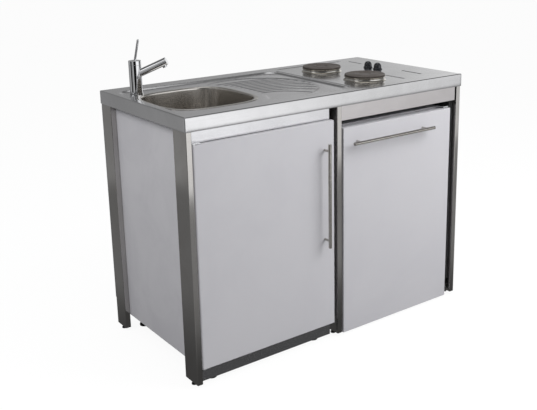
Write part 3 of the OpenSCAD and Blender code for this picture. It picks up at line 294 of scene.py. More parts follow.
def edge_effect():
    """Rounded edges: the bevelled normal, and a mask where it leaves the face's normal, which lightens edges
    as wear and as a painted highlight.
    """
    t, i, o = effect("edges", [("Radius", "Float", 0.0012)], [("Normal", "Vector"), ("Wear And Highlight", "Float")])
    bevel = node(t, "ShaderNodeBevel", {"Radius": i.outputs["Radius"]}, samples=6)
    flat = node(t, "ShaderNodeNewGeometry").outputs["Normal"]
    same = along(t, bevel.outputs[0], flat)
    t.links.new(bevel.outputs[0], o.inputs["Normal"])
    t.links.new(ramp(t, same, 0.985, 0.80), o.inputs["Wear And Highlight"])
    return t


GRAIN, HANDLING, EDGES = grain_effect(), handling_effect(), edge_effect()


def use(tree, group, feeds):
    """One of the groups placed in a material."""
    return node(tree, "ShaderNodeGroup", feeds, node_tree=group)


def blend_colour(tree, factor, a, b):
    """Output of one colour Mix node."""
    return node(tree, "ShaderNodeMix", {0: factor, 6: a, 7: b}, data_type="RGBA").outputs[2]


def finish(name, colour, dark, light, rough, metal=0.0, stretch=(60, 60, 60), grain=0.0, bump=0.02,
           radius=0.0010, size=7.0, specks=0.25, wear_and_highlight=0.5, **sockets):
    """A finish from its colour, its darkest and lightest tints and its range of roughness.

    Colour goes towards dark with smudges, grain and specks, and towards light on
    edges, partly as rubbed wear and partly as a painted edge highlight; roughness follows
    grain and smudges; the bump is the grain's.
    Tints are eight-bit; stretch and size are noise cells per metre, radius is metres.
    """
    colour, dark, light = tint(*colour), tint(*dark), tint(*light)
    m = bpy.data.materials.new(name)
    m.use_nodes = True
    t = m.node_tree
    shader = t.nodes["Principled BSDF"]
    at = node(t, "ShaderNodeTexCoord").outputs["Object"]
    lines = use(t, GRAIN, {"Vector": at, "Stretch": stretch})
    marks = use(t, HANDLING, {"Vector": at, "Size": size})
    edge = use(t, EDGES, {"Radius": radius})
    ground = blend_colour(t, maths(t, "MULTIPLY", marks.outputs["Smudge"], 0.6), colour, dark)
    lined = blend_colour(t, maths(t, "MULTIPLY", lines.outputs["Fine"], grain), ground, dark)
    dusty = blend_colour(t, maths(t, "MULTIPLY", marks.outputs["Specks"], specks), lined, dark)
    # Edges go towards light: partly rubbed wear, partly a painted highlight.
    rubbed_and_lit = blend_colour(t, maths(t, "MULTIPLY", edge.outputs["Wear And Highlight"], wear_and_highlight), dusty, light)
    t.links.new(rubbed_and_lit, shader.inputs["Base Color"])
    by_grain = maths(t, "MULTIPLY", lines.outputs["Fine"], 0.55)
    by_smudge = maths(t, "MULTIPLY", marks.outputs["Smudge"], 0.45)
    uneven = maths(t, "ADD", by_grain, by_smudge)
    t.links.new(ramp(t, uneven, 0.0, 1.0, rough[0], rough[1], "LINEAR"), shader.inputs["Roughness"])
    shader.inputs["Metallic"].default_value = metal
    relief = node(t, "ShaderNodeBump", {"Height": lines.outputs["Fine"], "Distance": 0.0005,
                  "Strength": bump, "Normal": edge.outputs["Normal"]})
    t.links.new(relief.outputs[0], shader.inputs["Normal"])
    for key, value in sockets.items():
        shader.inputs[key.replace("_", " ")].default_value = value
    return m


def dress(material, *names):
    """Gives CAD nodes, which stay as they are, a material."""
    for name in names:
        for slot in frame["nodes"][name].material_slots:
            slot.material = material


def piece(name, points, faces, material, body, stands_for, thick=0.0):
    """A new smooth mesh from points in millimetres, on its body, standing for CAD nodes.

    With thick it is a sheet, and a modifier gives it that wall in millimetres.
    """
    mesh = bpy.data.meshes.new(name)
    points = put(points)
    faces = np.asarray(faces, np.int32)
    mesh.vertices.add(len(points))
    mesh.vertices.foreach_set("co", points.astype(np.float32).ravel())
    mesh.loops.add(faces.size)
    mesh.loops.foreach_set("vertex_index", faces.ravel())
    mesh.polygons.add(len(faces))
    mesh.polygons.foreach_set("loop_start", np.arange(0, faces.size, faces.shape[1], dtype=np.int32))
    mesh.polygons.foreach_set("use_smooth", np.ones(len(faces), bool))
    mesh.update(calc_edges=True)
    mesh.validate()
    mesh.materials.append(material)
    made = bpy.data.objects.new(name, mesh)
    scene.collection.objects.link(made)
    if thick:
        wall = made.modifiers.new("wall", "SOLIDIFY")
        wall.thickness, wall.offset, wall.use_even_offset = thick / 1000.0, -1.0, False
    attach(made, body)
    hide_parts(*stands_for)
    return made


def grid_faces(rows, columns, closed=False, start=0):
    """Quads between neighbouring points of a grid of rows by columns, rows outermost."""
    i = np.arange(rows - 1)[:, None]
    j = np.arange(columns if closed else columns - 1)[None, :]
    a = i * columns + j
    b = i * columns + (j + 1) % columns
    return np.stack([a, b, b + columns, a + columns], -1).reshape(-1, 4) + start


# ---------------------------------------------------------------- worktop
# One sheet of satin stainless, 1.5 mm, pressed with a sunk field, a ribbed
# drainer and stiffening beads, and folded down and in along all four edges.

TOP_W, TOP_D, TOP_Z, EDGE_Z = 1200.0, 600.0, 900.0, 853.0
SHEET = 1.5
FIELD = dict(x0=22.0, x1=700.0, y0=45.0, y1=536.0, r=55.0, deep=5.5, slope=17.0)
BOWL = dict(x=206.0, y=276.0, a=166.0, b=172.0, power=3.4)
DRAIN = dict(x=468.0, y=290.0, r=214.0, deep=2.3, slope=8.0, gap=42.0, margin=14.0)
RIBS = dict(count=10, first=-63.0, pitch=26.5, drop=98.0, less=9.4, bend=2.6, half=7.0, deep=2.0,
            lead=56.0, inset=14.0)
BEADS = [(708.0, 85.0, 708.0, 519.0), (738.0, 549.0, 1053.0, 549.0), (1083.0, 104.0, 1083.0, 200.0),
         (1083.0, 449.0, 1083.0, 519.0), (962.0, 70.0, 962.0, 165.0)]
BEAD_DEEP, BEAD_HALF = 2.0, 7.5
PLATES, PLATE_HOLE = [(840.0, 147.0), (840.0, 400.0)], 62.0
KNOBS, SHAFT_HOLE = [(1034.0, 290.0), (1034.0, 346.0)], 6.0
TAP, TAP_HOLE = (71.0, 454.0), 13.5
BOWL_FLANGE = 9.0


def smooth(v):
    """Smooth step of v between 0 and 1."""
    v = np.clip(v, 0.0, 1.0)
    return v * v * (3.0 - 2.0 * v)


def inside_rect(x, y, x0, x1, y0, y1, r):
    """Distance inward from the outline of a rectangle with round corners."""
    cx, cy = (x0 + x1) / 2, (y0 + y1) / 2
    qx = np.abs(x - cx) - (x1 - x0) / 2 + r
    qy = np.abs(y - cy) - (y1 - y0) / 2 + r
    out = np.hypot(np.maximum(qx, 0), np.maximum(qy, 0)) + np.minimum(np.maximum(qx, qy), 0) - r
    return -out


def outside_bowl(x, y):
    """Roughly how far a point is outside the bowl's squared oval, along the ray to it."""
    u, v = np.abs(x - BOWL["x"]) / BOWL["a"], np.abs(y - BOWL["y"]) / BOWL["b"]
    k = (u ** BOWL["power"] + v ** BOWL["power"]) ** (1 / BOWL["power"])
    reach = np.hypot(x - BOWL["x"], y - BOWL["y"])
    return reach * (1 - 1 / np.maximum(k, 1e-6))


def channel(away, half):
    """Cosine section of a channel: 1 on its middle line and 0 at half away from it."""
    return 0.5 + 0.5 * np.cos(np.pi * np.clip(away / half, 0, 1))


def from_segment(x, y, x0, y0, x1, y1):
    """Distance from the segment between two points."""
    dx, dy = x1 - x0, y1 - y0
    s = np.clip(((x - x0) * dx + (y - y0) * dy) / (dx * dx + dy * dy), 0, 1)
    return np.hypot(x - x0 - s * dx, y - y0 - s * dy)


def from_rib(x, y, k):
    """Distance from the middle line of rib k of the drainer.

    The line starts beside the bowl's outline and falls away towards the front
    as drop * t ** bend, with t from 0 at the bowl to 1 at the drainer's arc.
    """
    b, r = BOWL, RIBS
    line, drop = b["y"] + r["first"] + r["pitch"] * k, r["drop"] - r["less"] * k
    side = 1 - (abs(line - b["y"]) / (b["b"] + r["lead"])) ** b["power"]
    left = b["x"] + (b["a"] + r["lead"]) * side ** (1 / b["power"])
    right = DRAIN["x"] + math.sqrt((DRAIN["r"] - r["inset"]) ** 2 - (line - drop - DRAIN["y"]) ** 2)
    t = np.clip((x - left) / (right - left), 0, 1)
    lean = np.cos(np.arctan(r["bend"] * drop * t ** (r["bend"] - 1) / (right - left)))
    return np.hypot(x - left - t * (right - left), (y - line + drop * t ** r["bend"]) * lean)


def pressed_height(x, y):
    """Height of the sheet: the top less the field, the drainer, its ribs and the beads."""
    z = np.full(np.broadcast(x, y).shape, TOP_Z)
    f, d = FIELD, DRAIN
    z = z - f["deep"] * smooth(inside_rect(x, y, f["x0"], f["x1"], f["y0"], f["y1"], f["r"]) / f["slope"])
    arc = d["r"] - np.hypot(x - d["x"], y - d["y"])
    band = np.minimum(y - f["y0"] - d["margin"], f["y1"] - d["margin"] - y)
    inward = np.minimum(np.minimum(arc, band), outside_bowl(x, y) - d["gap"])
    z = z - d["deep"] * smooth(inward / d["slope"])
    for k in range(RIBS["count"]):
        z = z - RIBS["deep"] * channel(from_rib(x, y, k), RIBS["half"])
    for bead in BEADS:
        z = z - BEAD_DEEP * channel(from_segment(x, y, *bead), BEAD_HALF)
    return z


def grid_lines(*stops):
    """Grid lines from stops given as value, step, value, step, ... value."""
    parts = [np.linspace(a, b, max(2, int(round((b - a) / step)) + 1))[:-1]
             for a, step, b in zip(stops[0:-2:2], stops[1::2], stops[2::2])]
    return np.concatenate(parts + [[stops[-1]]])


def cut_hole(p, quads, cx, cy, a, b, power):
    """Drops the quads inside a squared oval and draws the points along its edge onto it."""
    u, v = np.abs(p[:, 0] - cx) / a, np.abs(p[:, 1] - cy) / b
    k = (u ** power + v ** power) ** (1 / power)
    quads = quads[~(k[quads] < 1.0).all(1)]
    used = np.zeros(len(p), bool)
    used[quads.ravel()] = True
    move = used & (k < 1.0)
    p[move, 0] = cx + (p[move, 0] - cx) / k[move]
    p[move, 1] = cy + (p[move, 1] - cy) / k[move]
    p[move, 2] = pressed_height(p[move, 0], p[move, 1])
    return quads


def rim_ring(gx, gy, inset, d, h, turn, corner):
    """Points round the rectangle at d inside the outline and height h, spaced as the grid's lines."""
    r = max(corner - d, 0.0)
    lo, hx, hy = d + r, TOP_W - d - r, TOP_D - d - r
    fx = lo + (gx - inset) / (TOP_W - 2 * inset) * (hx - lo)
    fy = lo + (gy - inset) / (TOP_D - 2 * inset) * (hy - lo)
    bend = np.linspace(0, math.pi / 2, turn + 1)[1:-1]

    def tail(cx, cy, a0):
        return np.stack([cx + r * np.cos(a0 + bend), cy + r * np.sin(a0 + bend)], -1)

    ring = np.concatenate([
        np.stack([fx, np.full(len(gx), d)], -1), tail(hx, lo, -math.pi / 2),
        np.stack([np.full(len(gy), TOP_W - d), fy], -1), tail(hx, hy, 0.0),
        np.stack([fx[::-1], np.full(len(gx), TOP_D - d)], -1), tail(lo, hy, math.pi / 2),
        np.stack([np.full(len(gy), d), fy[::-1]], -1), tail(lo, lo, math.pi)])
    return np.concatenate([ring, np.full((len(ring), 1), h)], -1)


def shape_worktop():
    """Height field over a grid, with holes whose edges are drawn onto their outlines, and a rim.

    The rim is a profile carried round the rectangle: flat, a quarter turn of 4 mm,
    down to the lower bend, and 12 mm back in under the edge.
    """
    inset, corner, turn = 15.0, 3.0, 5
    # The grid is finer across the slopes, ribs, beads and knob holes.
    gx = grid_lines(inset, 3.6, 62, 12, 300, 6, 400, 4.6, 690, 2.8, 722, 14, 948, 3, 976, 12, 1018, 4, 1050,
                    8, 1072, 2.8, 1096, 10, TOP_W - inset)
    gy = grid_lines(inset, 6, 40, 2.8, 62, 2.9, 96, 2.35, 480, 5, 514, 2.6, 566, 7, TOP_D - inset)
    x, y = np.meshgrid(gx, gy)
    nx, ny = len(gx), len(gy)
    p = np.stack([x, y, pressed_height(x, y)], -1).reshape(-1, 3)
    quads = grid_faces(ny, nx)
    holes = [(BOWL["x"], BOWL["y"], BOWL["a"] + BOWL_FLANGE, BOWL["b"] + BOWL_FLANGE, BOWL["power"])]
    holes += [(cx, cy, r, r, 2.0) for (cx, cy), r in
              [(c, PLATE_HOLE) for c in PLATES] + [(c, SHAFT_HOLE) for c in KNOBS] + [(TAP, TAP_HOLE)]]
    for hole in holes:
        quads = cut_hole(p, quads, *hole)
    idx = np.arange(nx * ny).reshape(ny, nx)
    sides = [idx[0, :], idx[:, -1], idx[-1, ::-1], idx[::-1, 0]]
    loop = np.concatenate([np.concatenate([s, np.full(turn - 1, s[-1])]) for s in sides])
    bend, fold, back = 4.0, 1.5, 12.0
    station = [(11.0, TOP_Z), (7.0, TOP_Z)]
    station += [(bend - bend * math.sin(a), TOP_Z - bend + bend * math.cos(a))
                for a in np.linspace(0, math.pi / 2, 7)]
    station += [(0.0, 884.0), (0.0, 868.0)]
    station += [(fold - fold * math.cos(a), EDGE_Z + fold - fold * math.sin(a))
                for a in np.linspace(0, math.pi / 2, 4)]
    station += [(back, EDGE_Z)]
    band = np.concatenate([rim_ring(gx, gy, inset, d, h, turn, corner) for d, h in station])
    n = len(loop)
    first = np.stack([loop, np.roll(loop, -1), len(p) + (np.arange(n) + 1) % n, len(p) + np.arange(n)], -1)
    rest = grid_faces(len(station), n, True, len(p))
    faces = np.concatenate([quads, first[:, ::-1], rest[:, ::-1]])
    return np.concatenate([p, band]), faces


def weld(made, distance=1e-6):
    """Merges doubled points and drops what is left of flat faces and loose points."""
    b = bmesh.new()
    b.from_mesh(made.data)
    bmesh.ops.remove_doubles(b, verts=b.verts, dist=distance)
    bmesh.ops.dissolve_degenerate(b, dist=distance, edges=b.edges)
    bmesh.ops.delete(b, geom=[v for v in b.verts if not v.link_faces], context="VERTS")
    b.to_mesh(made.data)
    b.free()


steel_top = finish("satin_stainless_top", (214, 214, 216), (202, 202, 203), (236, 236, 238), (0.15, 0.24),
                   1.0, (5, 700, 700), 0.22, 0.02, size=5.0)
points, faces = shape_worktop()
worktop = piece("pressed_worktop", points, faces, steel_top, "unit", ["worktop"], thick=SHEET)
weld(worktop)

# ---------------------------------------------------------------- sink bowl
# Deep drawn bowl of satin stainless, welded in flush with the field; the weld is
# ground off, and a rolled lip leads down into the bowl.


def oval(a, b, power, n):
    """Points of a squared oval: half sizes times signed powers of cosine and sine."""
    t = np.linspace(0, 2 * math.pi, n, endpoint=False) + 1e-4
    c, s = np.cos(t), np.sin(t)
    x = a * np.sign(c) * np.abs(c) ** (2 / power)
    y = b * np.sign(s) * np.abs(s) ** (2 / power)
    return np.stack([x, y], -1)


def ring_at(outline, z):
    """Points of a flat outline at a height."""
    return np.concatenate([outline, np.full((len(outline), 1), z)], -1)


def shape_bowl():
    """Rings of squared ovals down the bowl: flush flange, rolled lip, leaning wall, round corner, floor.

    Each station is an offset from the bowl's outline, a height and the oval's power.
    """
    top, floor_z = TOP_Z - FIELD["deep"], 738.0
    flush, lip, lip_end, corner, power = top + 0.12, 2.5, 892.0, 42.0, BOWL["power"]
    lip_out, wall_out, lean, round_off, waste_rim = 1.9, -0.9, 7.1, 0.5, 40.0
    stations = [(10.6, top - 0.3, power), (10.4, top + 0.06, power), (9.8, flush, power)]
    stations += [(lip_out - lip * math.sin(a), flush - lip * (1 - math.cos(a)), power)
                 for a in np.linspace(0, 1.42, 8)]
    wall = lip_end - floor_z - corner
    stations += [(wall_out - lean * s, lip_end - wall * s, power) for s in np.linspace(0.07, 1, 11) ** 1.8]
    stations += [(wall_out - lean - corner * (1 - math.cos(a)), floor_z + corner * (1 - math.sin(a)),
                  power - round_off * a) for a in np.linspace(0, math.pi / 2, 13)[1:]]
    n = 160
    rings = [ring_at(oval(BOWL["a"] + o, BOWL["b"] + o, q, n), z) for o, z, q in stations]
    end, _, q1 = stations[-1]
    a1, b1 = BOWL["a"] + end, BOWL["b"] + end
    for s in np.linspace(0, 1, 8)[1:]:
        a, b, q = a1 + (waste_rim - a1) * s, b1 + (waste_rim - b1) * s, q1 + (2 - q1) * s
        rings.append(ring_at(oval(a, b, q, n), floor_z))
    p = np.concatenate(rings) + [BOWL["x"], BOWL["y"], 0]
    return p, grid_faces(len(rings), n, True)[:, ::-1]


steel_bowl = finish("satin_stainless_bowl", (206, 203, 199), (186, 182, 176), (228, 226, 222), (0.20, 0.26),
                    1.0, (260, 260, 60), 0.12, 0.004, size=5.0, specks=0.1)
points, faces = shape_bowl()
piece("drawn_bowl", points, faces, steel_bowl, "unit", ["sink_bowl"], thick=1.4)

# ---------------------------------------------------------------- hot plates
# Two cast iron plates, 148 mm across and burnt dark brown, turned with fine
# rings round a shallow middle. Bright drawn spill rings flare out under them.


def turned(profile, centres, n=96):
    """Surface of revolution: each point (r, z) of the profile goes round every centre (x, y)."""
    t = np.linspace(0, 2 * math.pi, n, endpoint=False)
    r, z = np.asarray(profile, float).T
    parts, faces = [], []
    for k, (cx, cy) in enumerate(centres):
        x, y = cx + r[:, None] * np.cos(t), cy + r[:, None] * np.sin(t)
        parts.append(np.stack([x, y, np.repeat(z[:, None], n, 1)], -1).reshape(-1, 3))
        faces.append(grid_faces(len(r), n, True, k * len(r) * n))
    return np.concatenate(parts), np.concatenate(faces)


def overlay(material, mask, colour):
    """Mixes a colour over a finish's own where the mask is."""
    t = material.node_tree
    shader = t.nodes["Principled BSDF"]
    was = shader.inputs["Base Color"].links[0].from_socket
    t.links.new(blend_colour(t, mask, was, colour), shader.inputs["Base Color"])


def heat_bands(material, centres, inner, outer, colour, strength):
    """Burnt ring: mixes colour in between two soft radii round each plate's axis, in metres."""
    t = material.node_tree
    here = node(t, "ShaderNodeTexCoord").outputs["Object"]
    masks = []
    for x, y in centres:
        c = put([x, y, 0])
        off = node(t, "ShaderNodeVectorMath", {0: here, 1: (c[0], c[1], 0)}, operation="SUBTRACT").outputs[0]
        flat = times(t, off, (1, 1, 0))
        far = node(t, "ShaderNodeVectorMath", {0: flat}, operation="LENGTH").outputs["Value"]
        inside = ramp(t, far, outer[0], outer[1], 1.0, 0.0)
        masks.append(maths(t, "MULTIPLY", ramp(t, far, inner[0], inner[1]), inside))
    overlay(material, maths(t, "MULTIPLY", maths(t, "MAXIMUM", *masks), strength), colour)


def plate_profile():
    """Half section of a plate: sunk middle, thirteen turned rings, rolled edge, side, underside."""
    z, r, edge, step, body, under = TOP_Z + 22.0, 74.0, 2.0, 73.0, 59.0, TOP_Z - 14.0
    ring_in, ring_out, rings, sunk, cut = 24.0, 68.0, 13, 1.2, 0.35
    profile = [(0.0, z - sunk), (10.0, z - sunk), (20.5, z - sunk), (21.8, z - 0.7), (22.6, z)]
    across = np.linspace(ring_in, ring_out, 133)
    wave = 0.5 - 0.5 * np.cos((across - ring_in) / (ring_out - ring_in) * 2 * math.pi * rings)
    profile += list(zip(across, z - cut * wave ** 2))
    profile += [(r - edge + edge * math.sin(a), z - edge + edge * math.cos(a))
                for a in np.linspace(0, math.pi / 2, 6)]
    profile += [(r, z - 5.5), (step + 0.2, z - 6.5), (step, z - 9.6)]
    return profile + [(body, z - 10.0), (body, under), (0.0, under)]


def ring_profile():
    """Closed half section of a spill ring: foot on the sheet, flare, rolled bead, back down inside."""
    foot, flare, rise, top, hole = 78.5, 5.7, 9.2, TOP_Z + 1.1, 60.9
    profile = [(hole, TOP_Z + 0.25), (foot - 0.1, TOP_Z + 0.25), (foot, TOP_Z + 0.7)]
    profile += [(foot - flare * math.sin(a) ** 0.8, top + rise * (1 - math.cos(a)) ** 0.8)
                for a in np.linspace(0, math.pi / 2, 7)]
    bead = [(73.6, 11.6), (75.2, 12.6), (75.8, 14.0), (75.6, 15.2), (74.9, 15.6), (74.4, 15.0), (74.3, 13.4)]
    profile += [(r, TOP_Z + h) for r, h in bead + [(72.2, 11.4), (71.9, 6.0), (71.6, 1.2), (hole, 1.1)]]
    return profile + profile[:1]


iron = finish("seasoned_cast_iron", (86, 80, 76), (62, 57, 53), (128, 120, 112), (0.36, 0.56), 0.45,
              (210, 210, 210), 0.55, 0.22, size=16.0)
heat_bands(iron, PLATES, inner=(0.040, 0.050), outer=(0.064, 0.074), colour=tint(74, 66, 60), strength=0.55)
points, faces = turned(plate_profile(), PLATES)
plates = piece("cast_plates", points, faces[:, ::-1], iron, "unit", ["hot_plates"])
weld(plates, 1e-5)

ring_steel = finish("drawn_bright_ring", (204, 202, 198), (160, 156, 149), (232, 230, 227), (0.12, 0.24),
                    1.0, (90, 90, 300), 0.25, 0.02, size=12.0)
heat_bands(ring_steel, PLATES, inner=(0.0735, 0.0752), outer=(0.0757, 0.0772), colour=tint(186, 170, 140),
           strength=0.3)
points, faces = turned(ring_profile(), PLATES, 128)
rings = piece("spill_rings", points, faces, ring_steel, "unit", ["plate_rings"])
weld(rings, 1e-5)

# ---------------------------------------------------------------- knobs
# Two glossy black domed knobs with a flared skirt and a moulded pointer line,
# each pushed on the shaft of its energy regulator.


def knob_shape(x, y):
    """Turned dome on a flared skirt; a groove runs up its front as the pointer."""
    base, tall, body, skirt = TOP_Z + 0.6, 26.0, 15.0, 18.5
    profile = [(3.0, base + 0.2), (skirt - 0.6, base), (skirt, base + 0.5), (skirt, base + 1.6)]
    profile += [(body + (skirt - body) * (1 - math.sin(b)) ** 1.7, base + 1.9 + 9.0 * b / (math.pi / 2))
                for b in np.linspace(0.12, math.pi / 2, 9)]
    profile += [(body * math.cos(b) ** 0.9 if b < 1.57 else 0.0, base + tall - body + body * math.sin(b))
                for b in np.linspace(0, math.pi / 2, 13)]
    p, f = turned(profile, [(x, y)])
    turn = np.arctan2(p[:, 1] - y, p[:, 0] - x)
    off = np.abs(np.angle(np.exp(1j * (turn + math.pi / 2)))) * np.hypot(p[:, 0] - x, p[:, 1] - y)
    deep, half, low, high = 0.7, 1.4, base + 4, base + 24
    dip = deep * channel(off, half) * (p[:, 2] > low) * (p[:, 2] < high)
    p[:, 0] += dip * -np.cos(turn)
    p[:, 1] += dip * -np.sin(turn)
    return p, f


knob_black = finish("glossy_black_plastic", (26, 27, 32), (17, 17, 20), (52, 53, 58), (0.10, 0.22), 0.0,
                    (200, 200, 200), 0.3, 0.01, Coat_Weight=0.35, Coat_Roughness=0.06)
for label, body, (x, y) in zip(("knob_front", "knob_rear"), ("front_plate_knob", "rear_plate_knob"), KNOBS):
    points, faces = knob_shape(x, y)
    cap = piece(label + "_cap", points, faces, knob_black, body, [label])
    weld(cap, 1e-5)

# ---------------------------------------------------------------- waste and trap
# Strainer waste of polished steel in the bowl's floor, with a lift-out basket,
# and a white moulded trap screwed under it.

steel_bright = finish("polished_steel", (214, 214, 213), (190, 190, 188), (240, 240, 240), (0.10, 0.22),
                      1.0, (120, 120, 120), 0.15, 0.02)
waste_plastic = finish("moulded_waste_plastic", (226, 226, 223), (196, 196, 192), (240, 240, 238),
                       (0.30, 0.46), 0.0, (160, 160, 160), 0.3, 0.03, size=14.0)
dress(steel_bright, "sink_waste", "basket_plug")
dress(waste_plastic, "waste_trap")

# ---------------------------------------------------------------- tap
# Single lever tap of chromed brass: base, column with its spout, turning cap
# and pin lever. A nut and a washer clamp it through the worktop.

chrome = finish("chrome_plate", (226, 227, 229), (208, 209, 211), (246, 246, 246), (0.02, 0.06), 1.0,
                (60, 60, 60), 0.1, 0.0, radius=0.0006)
zinc = finish("zinc_plated_steel", (184, 184, 181), (148, 147, 142), (214, 214, 211), (0.25, 0.42), 1.0,
              (120, 120, 120), 0.4, 0.04, size=24.0)
dress(chrome, "tap_base", "tap_column", "tap_aerator", "tap_cap", "tap_lever")
dress(zinc, "tap_fixing")

# ---------------------------------------------------------------- hob underside
# A pan of galvanised sheet closes the hob from below. Clamps hold the plates, and
# two regulators and a cream terminal box carry the wiring. Sheet has zinc spangle.


def spangle_effect():
    """Zinc spangle: cells of two sizes, each with its own level, and their warped edges."""
    t, i, o = effect("spangle", [("Vector", "Vector", None), ("Cells", "Float", 70.0)], [("Level", "Float")])
    warp = node(t, "ShaderNodeTexNoise", {"Vector": i.outputs["Vector"], "Scale": 40.0, "Detail": 2.0})
    moved = times(t, warp.outputs["Color"], (0.012, 0.012, 0.012))
    at = node(t, "ShaderNodeVectorMath", {0: i.outputs["Vector"], 1: moved}, operation="ADD").outputs[0]
    finer = maths(t, "MULTIPLY", i.outputs["Cells"], 3.1)
    large = node(t, "ShaderNodeTexVoronoi", {"Vector": at, "Scale": i.outputs["Cells"]})
    small = node(t, "ShaderNodeTexVoronoi", {"Vector": at, "Scale": finer})
    a = node(t, "ShaderNodeSeparateColor", {0: large.outputs["Color"]}).outputs[0]
    b = node(t, "ShaderNodeSeparateColor", {0: small.outputs["Color"]}).outputs[1]
    level = maths(t, "ADD", maths(t, "MULTIPLY", a, 0.7), maths(t, "MULTIPLY", b, 0.3))
    t.links.new(level, o.inputs["Level"])
    return t


SPANGLE = spangle_effect()


def add_spangle(material, dark, strength):
    """Lays spangle over a finish's colour, between it and dark."""
    t = material.node_tree
    here = node(t, "ShaderNodeTexCoord").outputs["Object"]
    cells = use(t, SPANGLE, {"Vector": here})
    overlay(material, maths(t, "MULTIPLY", cells.outputs["Level"], strength), dark)


galvanised = finish("galvanised_sheet", (186, 189, 192), (150, 153, 157), (206, 208, 210), (0.30, 0.50),
                    0.6, (45, 45, 45), 0.3, 0.03, size=9.0)
add_spangle(galvanised, dark=tint(132, 136, 141), strength=0.75)
switch_plastic = finish("cream_phenolic", (222, 214, 194), (196, 186, 164), (236, 230, 214), (0.35, 0.5),
                        0.0, (160, 160, 160), 0.3, 0.03, size=20.0)
dress(galvanised, "hob_pan")
dress(zinc, "plate_clamps")
dress(switch_plastic, "switches", "terminal_box")

# ---------------------------------------------------------------- frame and legs
# Six legs of brushed stainless tube, 50 by 20 mm, bolted to a frame of square tube
# under the worktop. Black plugs close them and carry screwed levelling feet.

black_plastic = finish("black_polyamide", (28, 28, 29), (19, 19, 19), (62, 62, 62), (0.22, 0.40), 0.0,
                       (200, 200, 200), 0.3, 0.03, size=20.0)
steel_upright = finish("satin_stainless_upright", (190, 188, 186), (178, 175, 172), (222, 221, 220),
                       (0.09, 0.16), 1.0, (700, 700, 5), 0.30, 0.03)
steel_plain = finish("rolled_steel", (188, 188, 188), (160, 160, 160), (220, 220, 220), (0.28, 0.42), 1.0,
                     (90, 90, 90), 0.2, 0.03)
dress(steel_upright, "front_legs", "rear_legs")
dress(steel_plain, "top_frame")
dress(zinc, "leg_bolts")
dress(black_plastic, "leg_plugs", "levelling_feet", "cabinet_feet")

# ---------------------------------------------------------------- cabinet
# Carcass of coated chipboard panels screwed to the legs over spacer tubes, closed
# behind by galvanised sheet. Stainless rail over the door, plinth under it. The
# right panel is pale on its outer face only; its inner face and front edge are dark
# as painted shade, for the shadow in the gap beside the refrigerator.

panel_coat = finish("pale_grey_coating", (198, 197, 201), (186, 185, 190), (218, 217, 221), (0.30, 0.42),
                    0.0, (420, 420, 420), 0.3, 0.06, size=5.0)
# Painted shade: this dark colour on the right panel's inner face and front edge stands for the shadow in the
# gap beside the refrigerator.
panel_shade_painted = finish("inner_face_painted_shade", (58, 57, 58), (44, 43, 44), (84, 83, 84), (0.34, 0.46), 0.0,
                    (420, 420, 420), 0.3, 0.06, size=5.0)


def coat_outer_face(material, face_x, colour):
    """Lays the outer coat's colour over the face at face_x, right up to its edges."""
    t = material.node_tree
    here = node(t, "ShaderNodeTexCoord").outputs["Object"]
    across = node(t, "ShaderNodeSeparateXYZ", {0: here}).outputs["X"]
    start, full = put([face_x - 0.6, 0, 0])[0], put([face_x - 0.2, 0, 0])[0]
    overlay(material, ramp(t, across, start, full), colour)


# The pale coat goes on the outer face only; the rest keeps the painted shade.
coat_outer_face(panel_shade_painted, face_x=1177.0, colour=tint(198, 197, 201))
dress(panel_coat, "left_panel", "middle_panel", "cabinet_floor")
dress(panel_shade_painted, "right_panel")
dress(galvanised, "back_panel")
dress(zinc, "panel_screws")
dress(steel_plain, "spacer_tubes")
steel_front = finish("satin_stainless_front", (218, 218, 221), (206, 206, 209), (238, 238, 240),
                     (0.22, 0.30), 1.0, (5, 700, 700), 0.25, 0.03, size=5.0)
dress(steel_front, "cabinet_front_rail", "plinth")

# ---------------------------------------------------------------- cabinet door
# Coated sheet skin folded round a liner, hung on pins that turn in steel angle
# brackets at the left, and kept shut by a magnet catch.

door_coat = finish("satin_door_coating", (199, 198, 202), (193, 192, 197), (226, 225, 229), (0.26, 0.36),
                   0.0, (420, 420, 420), 0.25, 0.05, size=3.0)
dress(door_coat, "cabinet_door_skin", "cabinet_door_liner")
dress(chrome, "pivot_pins", "pivot_brackets")
dress(zinc, "magnet_catch")

# ---------------------------------------------------------------- handles
# Round bars of brushed stainless on two posts each: upright on the cabinet's
# door, level on the refrigerator's. The grain runs along the bar.


def bar_steel(way, stretch):
    """Brushed bar stock with its grain along one axis."""
    return finish("brushed_bar_" + way, (196, 193, 188), (166, 162, 156), (226, 224, 220), (0.18, 0.30), 1.0,
                  stretch, 0.45, 0.05, size=10.0)


dress(bar_steel("upright", (900, 900, 6)), "cabinet_handle")
dress(bar_steel("level", (6, 900, 900)), "fridge_handle")

# ---------------------------------------------------------------- fascia
# Folded stainless strip over the refrigerator. Its sheet is a touch warmer and
# duller than the worktop's; the place for a plate at its right end is bare.

steel_fascia = finish("satin_stainless_fascia", (209, 206, 207), (190, 186, 186), (234, 233, 233),
                      (0.26, 0.34), 1.0, (5, 700, 700), 0.3, 0.03, size=2.2)
dress(steel_fascia, "fascia")

# ---------------------------------------------------------------- refrigerator body
# White coated steel shell with a grey top, on a black base that holds the
# compressor. Chromed hinges carry the door at its right.

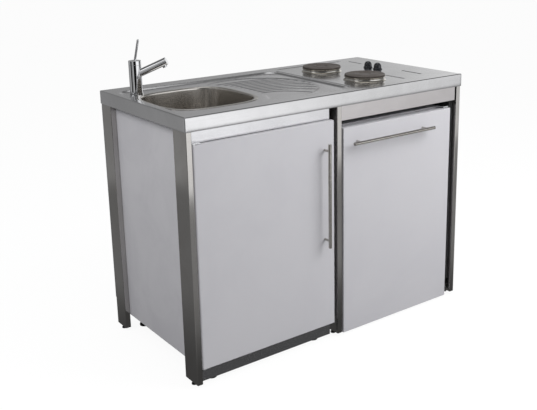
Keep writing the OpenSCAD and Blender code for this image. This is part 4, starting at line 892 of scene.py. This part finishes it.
shell_coat = finish("white_shell_coating", (222, 223, 224), (204, 205, 207), (236, 236, 236), (0.25, 0.40),
                    0.0, (420, 420, 420), 0.25, 0.05, size=6.0)
base_black = finish("black_base_coating", (46, 46, 48), (32, 32, 34), (84, 84, 86), (0.35, 0.5), 0.3,
                    (160, 160, 160), 0.4, 0.05, size=12.0)
dress(shell_coat, "fridge_shell")
dress(door_coat, "fridge_top")
dress(base_black, "fridge_base")
dress(zinc, "fridge_fixings")
dress(chrome, "fridge_hinges")

# ---------------------------------------------------------------- refrigerator door
# Coated steel shell over a moulded white liner with a soft grey seal round its
# rim, and two clear bins hooked on the liner's ribs.

liner_plastic = finish("white_liner_plastic", (228, 228, 226), (208, 208, 206), (242, 242, 240),
                       (0.28, 0.42), 0.0, (220, 220, 220), 0.3, 0.04, size=8.0)
seal_rubber = finish("soft_grey_seal", (150, 151, 154), (124, 125, 128), (172, 172, 174), (0.5, 0.65), 0.0,
                     (240, 240, 240), 0.4, 0.06, size=18.0)
clear_plastic = finish("clear_polystyrene", (214, 222, 226), (196, 206, 212), (236, 241, 243), (0.10, 0.20),
                       0.0, (160, 160, 160), 0.2, 0.01, size=10.0, Alpha=0.55)
dress(door_coat, "fridge_door_shell")
dress(liner_plastic, "fridge_door_liner")
dress(seal_rubber, "fridge_gasket")
dress(clear_plastic, "door_bins")

# ---------------------------------------------------------------- refrigerator inside
# White liner with glass shelves, a clear drawer at the bottom, an aluminium ice
# box with a hinged flap at the top and a thermostat knob beside it.

shelf_glass = finish("green_edged_glass", (206, 222, 216), (188, 209, 200), (226, 241, 234), (0.03, 0.08),
                     0.0, (160, 160, 160), 0.2, 0.0, size=10.0, Alpha=0.5)
ice_aluminium = finish("pressed_aluminium", (208, 210, 213), (184, 187, 190), (228, 230, 232), (0.30, 0.42),
                       1.0, (5, 400, 400), 0.4, 0.04, size=12.0)
dress(liner_plastic, "fridge_liner", "freezer_flap", "thermostat_knob")
dress(shelf_glass, "fridge_shelves")
dress(clear_plastic, "crisper_drawer")
dress(ice_aluminium, "freezer_box")

# ---------------------------------------------------------------- cooling
# A hermetic compressor, welded and painted black, on the base, and a slotted
# plate condenser with its tube behind the shell.

cooling_black = finish("thick_black_paint", (30, 30, 32), (20, 20, 22), (58, 58, 61), (0.24, 0.42), 0.0,
                       (220, 220, 220), 0.4, 0.14, size=16.0, specks=0.4)
dress(cooling_black, "compressor", "condenser")
